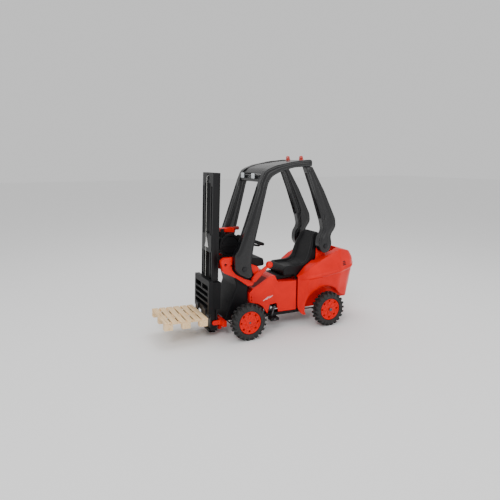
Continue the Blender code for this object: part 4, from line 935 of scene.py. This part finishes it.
def inlay(bm, at, side, outline, proud):
    """Adds a thin plate that follows a side surface inside a YZ outline of four corners."""
    steps = range(INLAY_STEPS + 1)
    a, b, c, d = [Vector(corner) for corner in outline]
    verts = {}
    for level in (proud, INLAY_ROOT):
        for i in steps:
            for j in steps:
                u, v = i / INLAY_STEPS, j / INLAY_STEPS
                y, z = (a * (1 - u) + b * u) * (1 - v) + (d * (1 - u) + c * u) * v
                verts[level, i, j] = bm.verts.new((at(side, y, z).x + side * level, y, z))
    for i in steps[:-1]:
        for j in steps[:-1]:
            for level in (proud, INLAY_ROOT):
                bm.faces.new([verts[level, i + p, j + q] for p, q in ((0, 0), (1, 0), (1, 1), (0, 1))])
    for k in steps[:-1]:
        for fixed in (0, INLAY_STEPS):
            for start, end in (((k, fixed), (k + 1, fixed)), ((fixed, k), (fixed, k + 1))):
                corners = ((proud, *start), (proud, *end), (INLAY_ROOT, *end), (INLAY_ROOT, *start))
                bm.faces.new([verts[corner] for corner in corners])


def side_stripes(body_piece):
    """Three plain slanted pale bars on each side of the centre body, each shorter than the one before."""
    at = skin_of(body_piece)
    for word, side in SIDES:
        bm = bmesh.new()
        for k in range(3):
            y, z = FRONT_AXLE.y + 0.128 + 0.020 * k, 0.182 + 0.006 * k
            length = 0.036 - 0.006 * k
            top = z + 0.62 * length
            outline = [(y, z), (y + length, top), (y + length + 0.004, top), (y + 0.007, z)]
            inlay(bm, at, side, outline, 0.0003)
        added_piece(f"side_stripes_{word}", outward(bm), "vehicle", "lamp_lens", material=PALE_FILM)


def hood_vent_shades(hood_piece):
    """Three black plates on each rear shoulder of the hood, as painted shade of its vent slots."""
    at = skin_of(hood_piece)
    front = FRONT_AXLE.y + 0.648
    for word, side in SIDES:
        bm = bmesh.new()
        for k in range(3):
            rear, low = front + 0.030 - 0.004 * k, 0.350 + 0.010 * k
            high = low + 0.0066
            inlay(bm, at, side, [(front, low), (rear, low), (rear, high), (front, high)], 0.0004)
        added_piece(f"hood_vent_{word}", outward(bm), "vehicle", "black_plastic")


def seam_lining():
    """A lining in the darker red behind the seam between the centre body and the hood on each side, as
    painted shade inside the seam.
    """
    for word, side in SIDES:
        bm = bmesh.new()
        inner, outer = sorted((side * 0.1065, side * 0.1085))
        block(bm, (inner, FRONT_AXLE.y + 0.336, 0.103), (outer, FRONT_AXLE.y + 0.440, 0.283), 0.0004)
        added_piece(f"seam_lining_{word}", outward(bm), "vehicle", "red_plastic", material=PAINTED_SHADE_RED)


def seat_screws(seat_piece):
    """A small screw low on each side of the seat."""
    at = skin_of(seat_piece)
    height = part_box("seat_shell")[0].z + 0.016
    for word, side in SIDES:
        where = at(side, FRONT_AXLE.y + 0.381, height)
        screw(f"seat_screw_{word}", where, (side, 0, 0), 0.0042, NODE_BODY["seat_shell"])


# What each node gets

# The radius on the edges of each straight-sided node, in metres.
EDGED = {
    "chassis_frame": 0.0012, "chain_guard": 0.0012, "seat_rail": 0.002, "steering_column": 0.0006,
    "steering_knuckle_left": 0.0006, "steering_knuckle_right": 0.0006, "tie_rod": 0.0005,
    "rear_axle": 0.0005, "pedal_crank": 0.0008, "pedal_left": 0.0015, "pedal_right": 0.0015,
    "drive_chain": 0.0008, "mast_cover": 0.0014, "mast_foot": 0.003, "fork_carriage": 0.0018,
    "fork_left": 0.0014, "fork_right": 0.0014, "winch_lever": 0.003, "roof_panel": 0.0008,
    "roof_crossbar": 0.003, "front_bolt_left": 0.0006, "front_bolt_right": 0.0006,
    "rear_bolt_left": 0.0006, "rear_bolt_right": 0.0006, "top_pulley": 0.0004, "winch_drum": 0.0008,
    "chainwheel": 0.0003, "rear_sprocket": 0.0003, "winch_grip": 0.0008, "lift_rope_back": 0.0002,
}

# The skin's cell in metres and the rounds of softening of each blow-moulded node.
ROUNDED = {
    "front_cowl": (0.0020, 10), "front_cross_beam": (0.0016, 24),
    "guard_rail_left": (0.0020, 34), "guard_rail_right": (0.0020, 34),
    "rear_pillar_left": (0.0020, 30), "rear_pillar_right": (0.0020, 30),
    "steering_wheel": (0.0012, 6), "tilt_lever": (0.0012, 10), "dash_console": (0.0022, 14),
    "winch_housing": (0.0014, 6),
}

# The plate-like nodes whose broad faces are crowned.
CROWNED = {"guard_rail_left", "guard_rail_right", "rear_pillar_left", "rear_pillar_right"}


def build_looks():
    """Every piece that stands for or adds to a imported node."""
    louvre_shade_panel()
    cover_mark()
    seam_lining()
    for word, side in SIDES:
        for end in ("front", "rear"):
            tyre(f"tyre_{end}_{word}", side)
            rim(f"rim_{end}_{word}", side)
        beacon(word)
        headlight(word)
    pallet()
    rope_run("lift_rope_front_cord", "lift_rope_front")
    for node, width in EDGED.items():
        edged(node, width)
    for node, (voxel, rounds) in ROUNDED.items():
        rounded(node, voxel, rounds, crowned=node in CROWNED)
    hood_vent_shades(rounded("rear_hood", 0.0030, 32, hood_skin))
    seat_screws(rounded("seat_shell", 0.0022, 60, seat_skin))
    edged("mast_frame", 0.0014, carve=mast_grooves)
    # The sloping top and the inner webs of the centre body take the darker red as painted shade.
    side_stripes(edged("body_shell", 0.0045, segments=4, carve=sunk_panel, second=PAINTED_SHADE_RED,
                       shows_second=shaded_shell))
    # The recess floor round each pillar's foot takes the black moulding as painted shade.
    for word, _ in SIDES:
        edged(f"dash_cheek_{word}", 0.0022, second=FINISHES["black_plastic"], shows_second=recess_floor)


dress_frame()
build_looks()
stage()
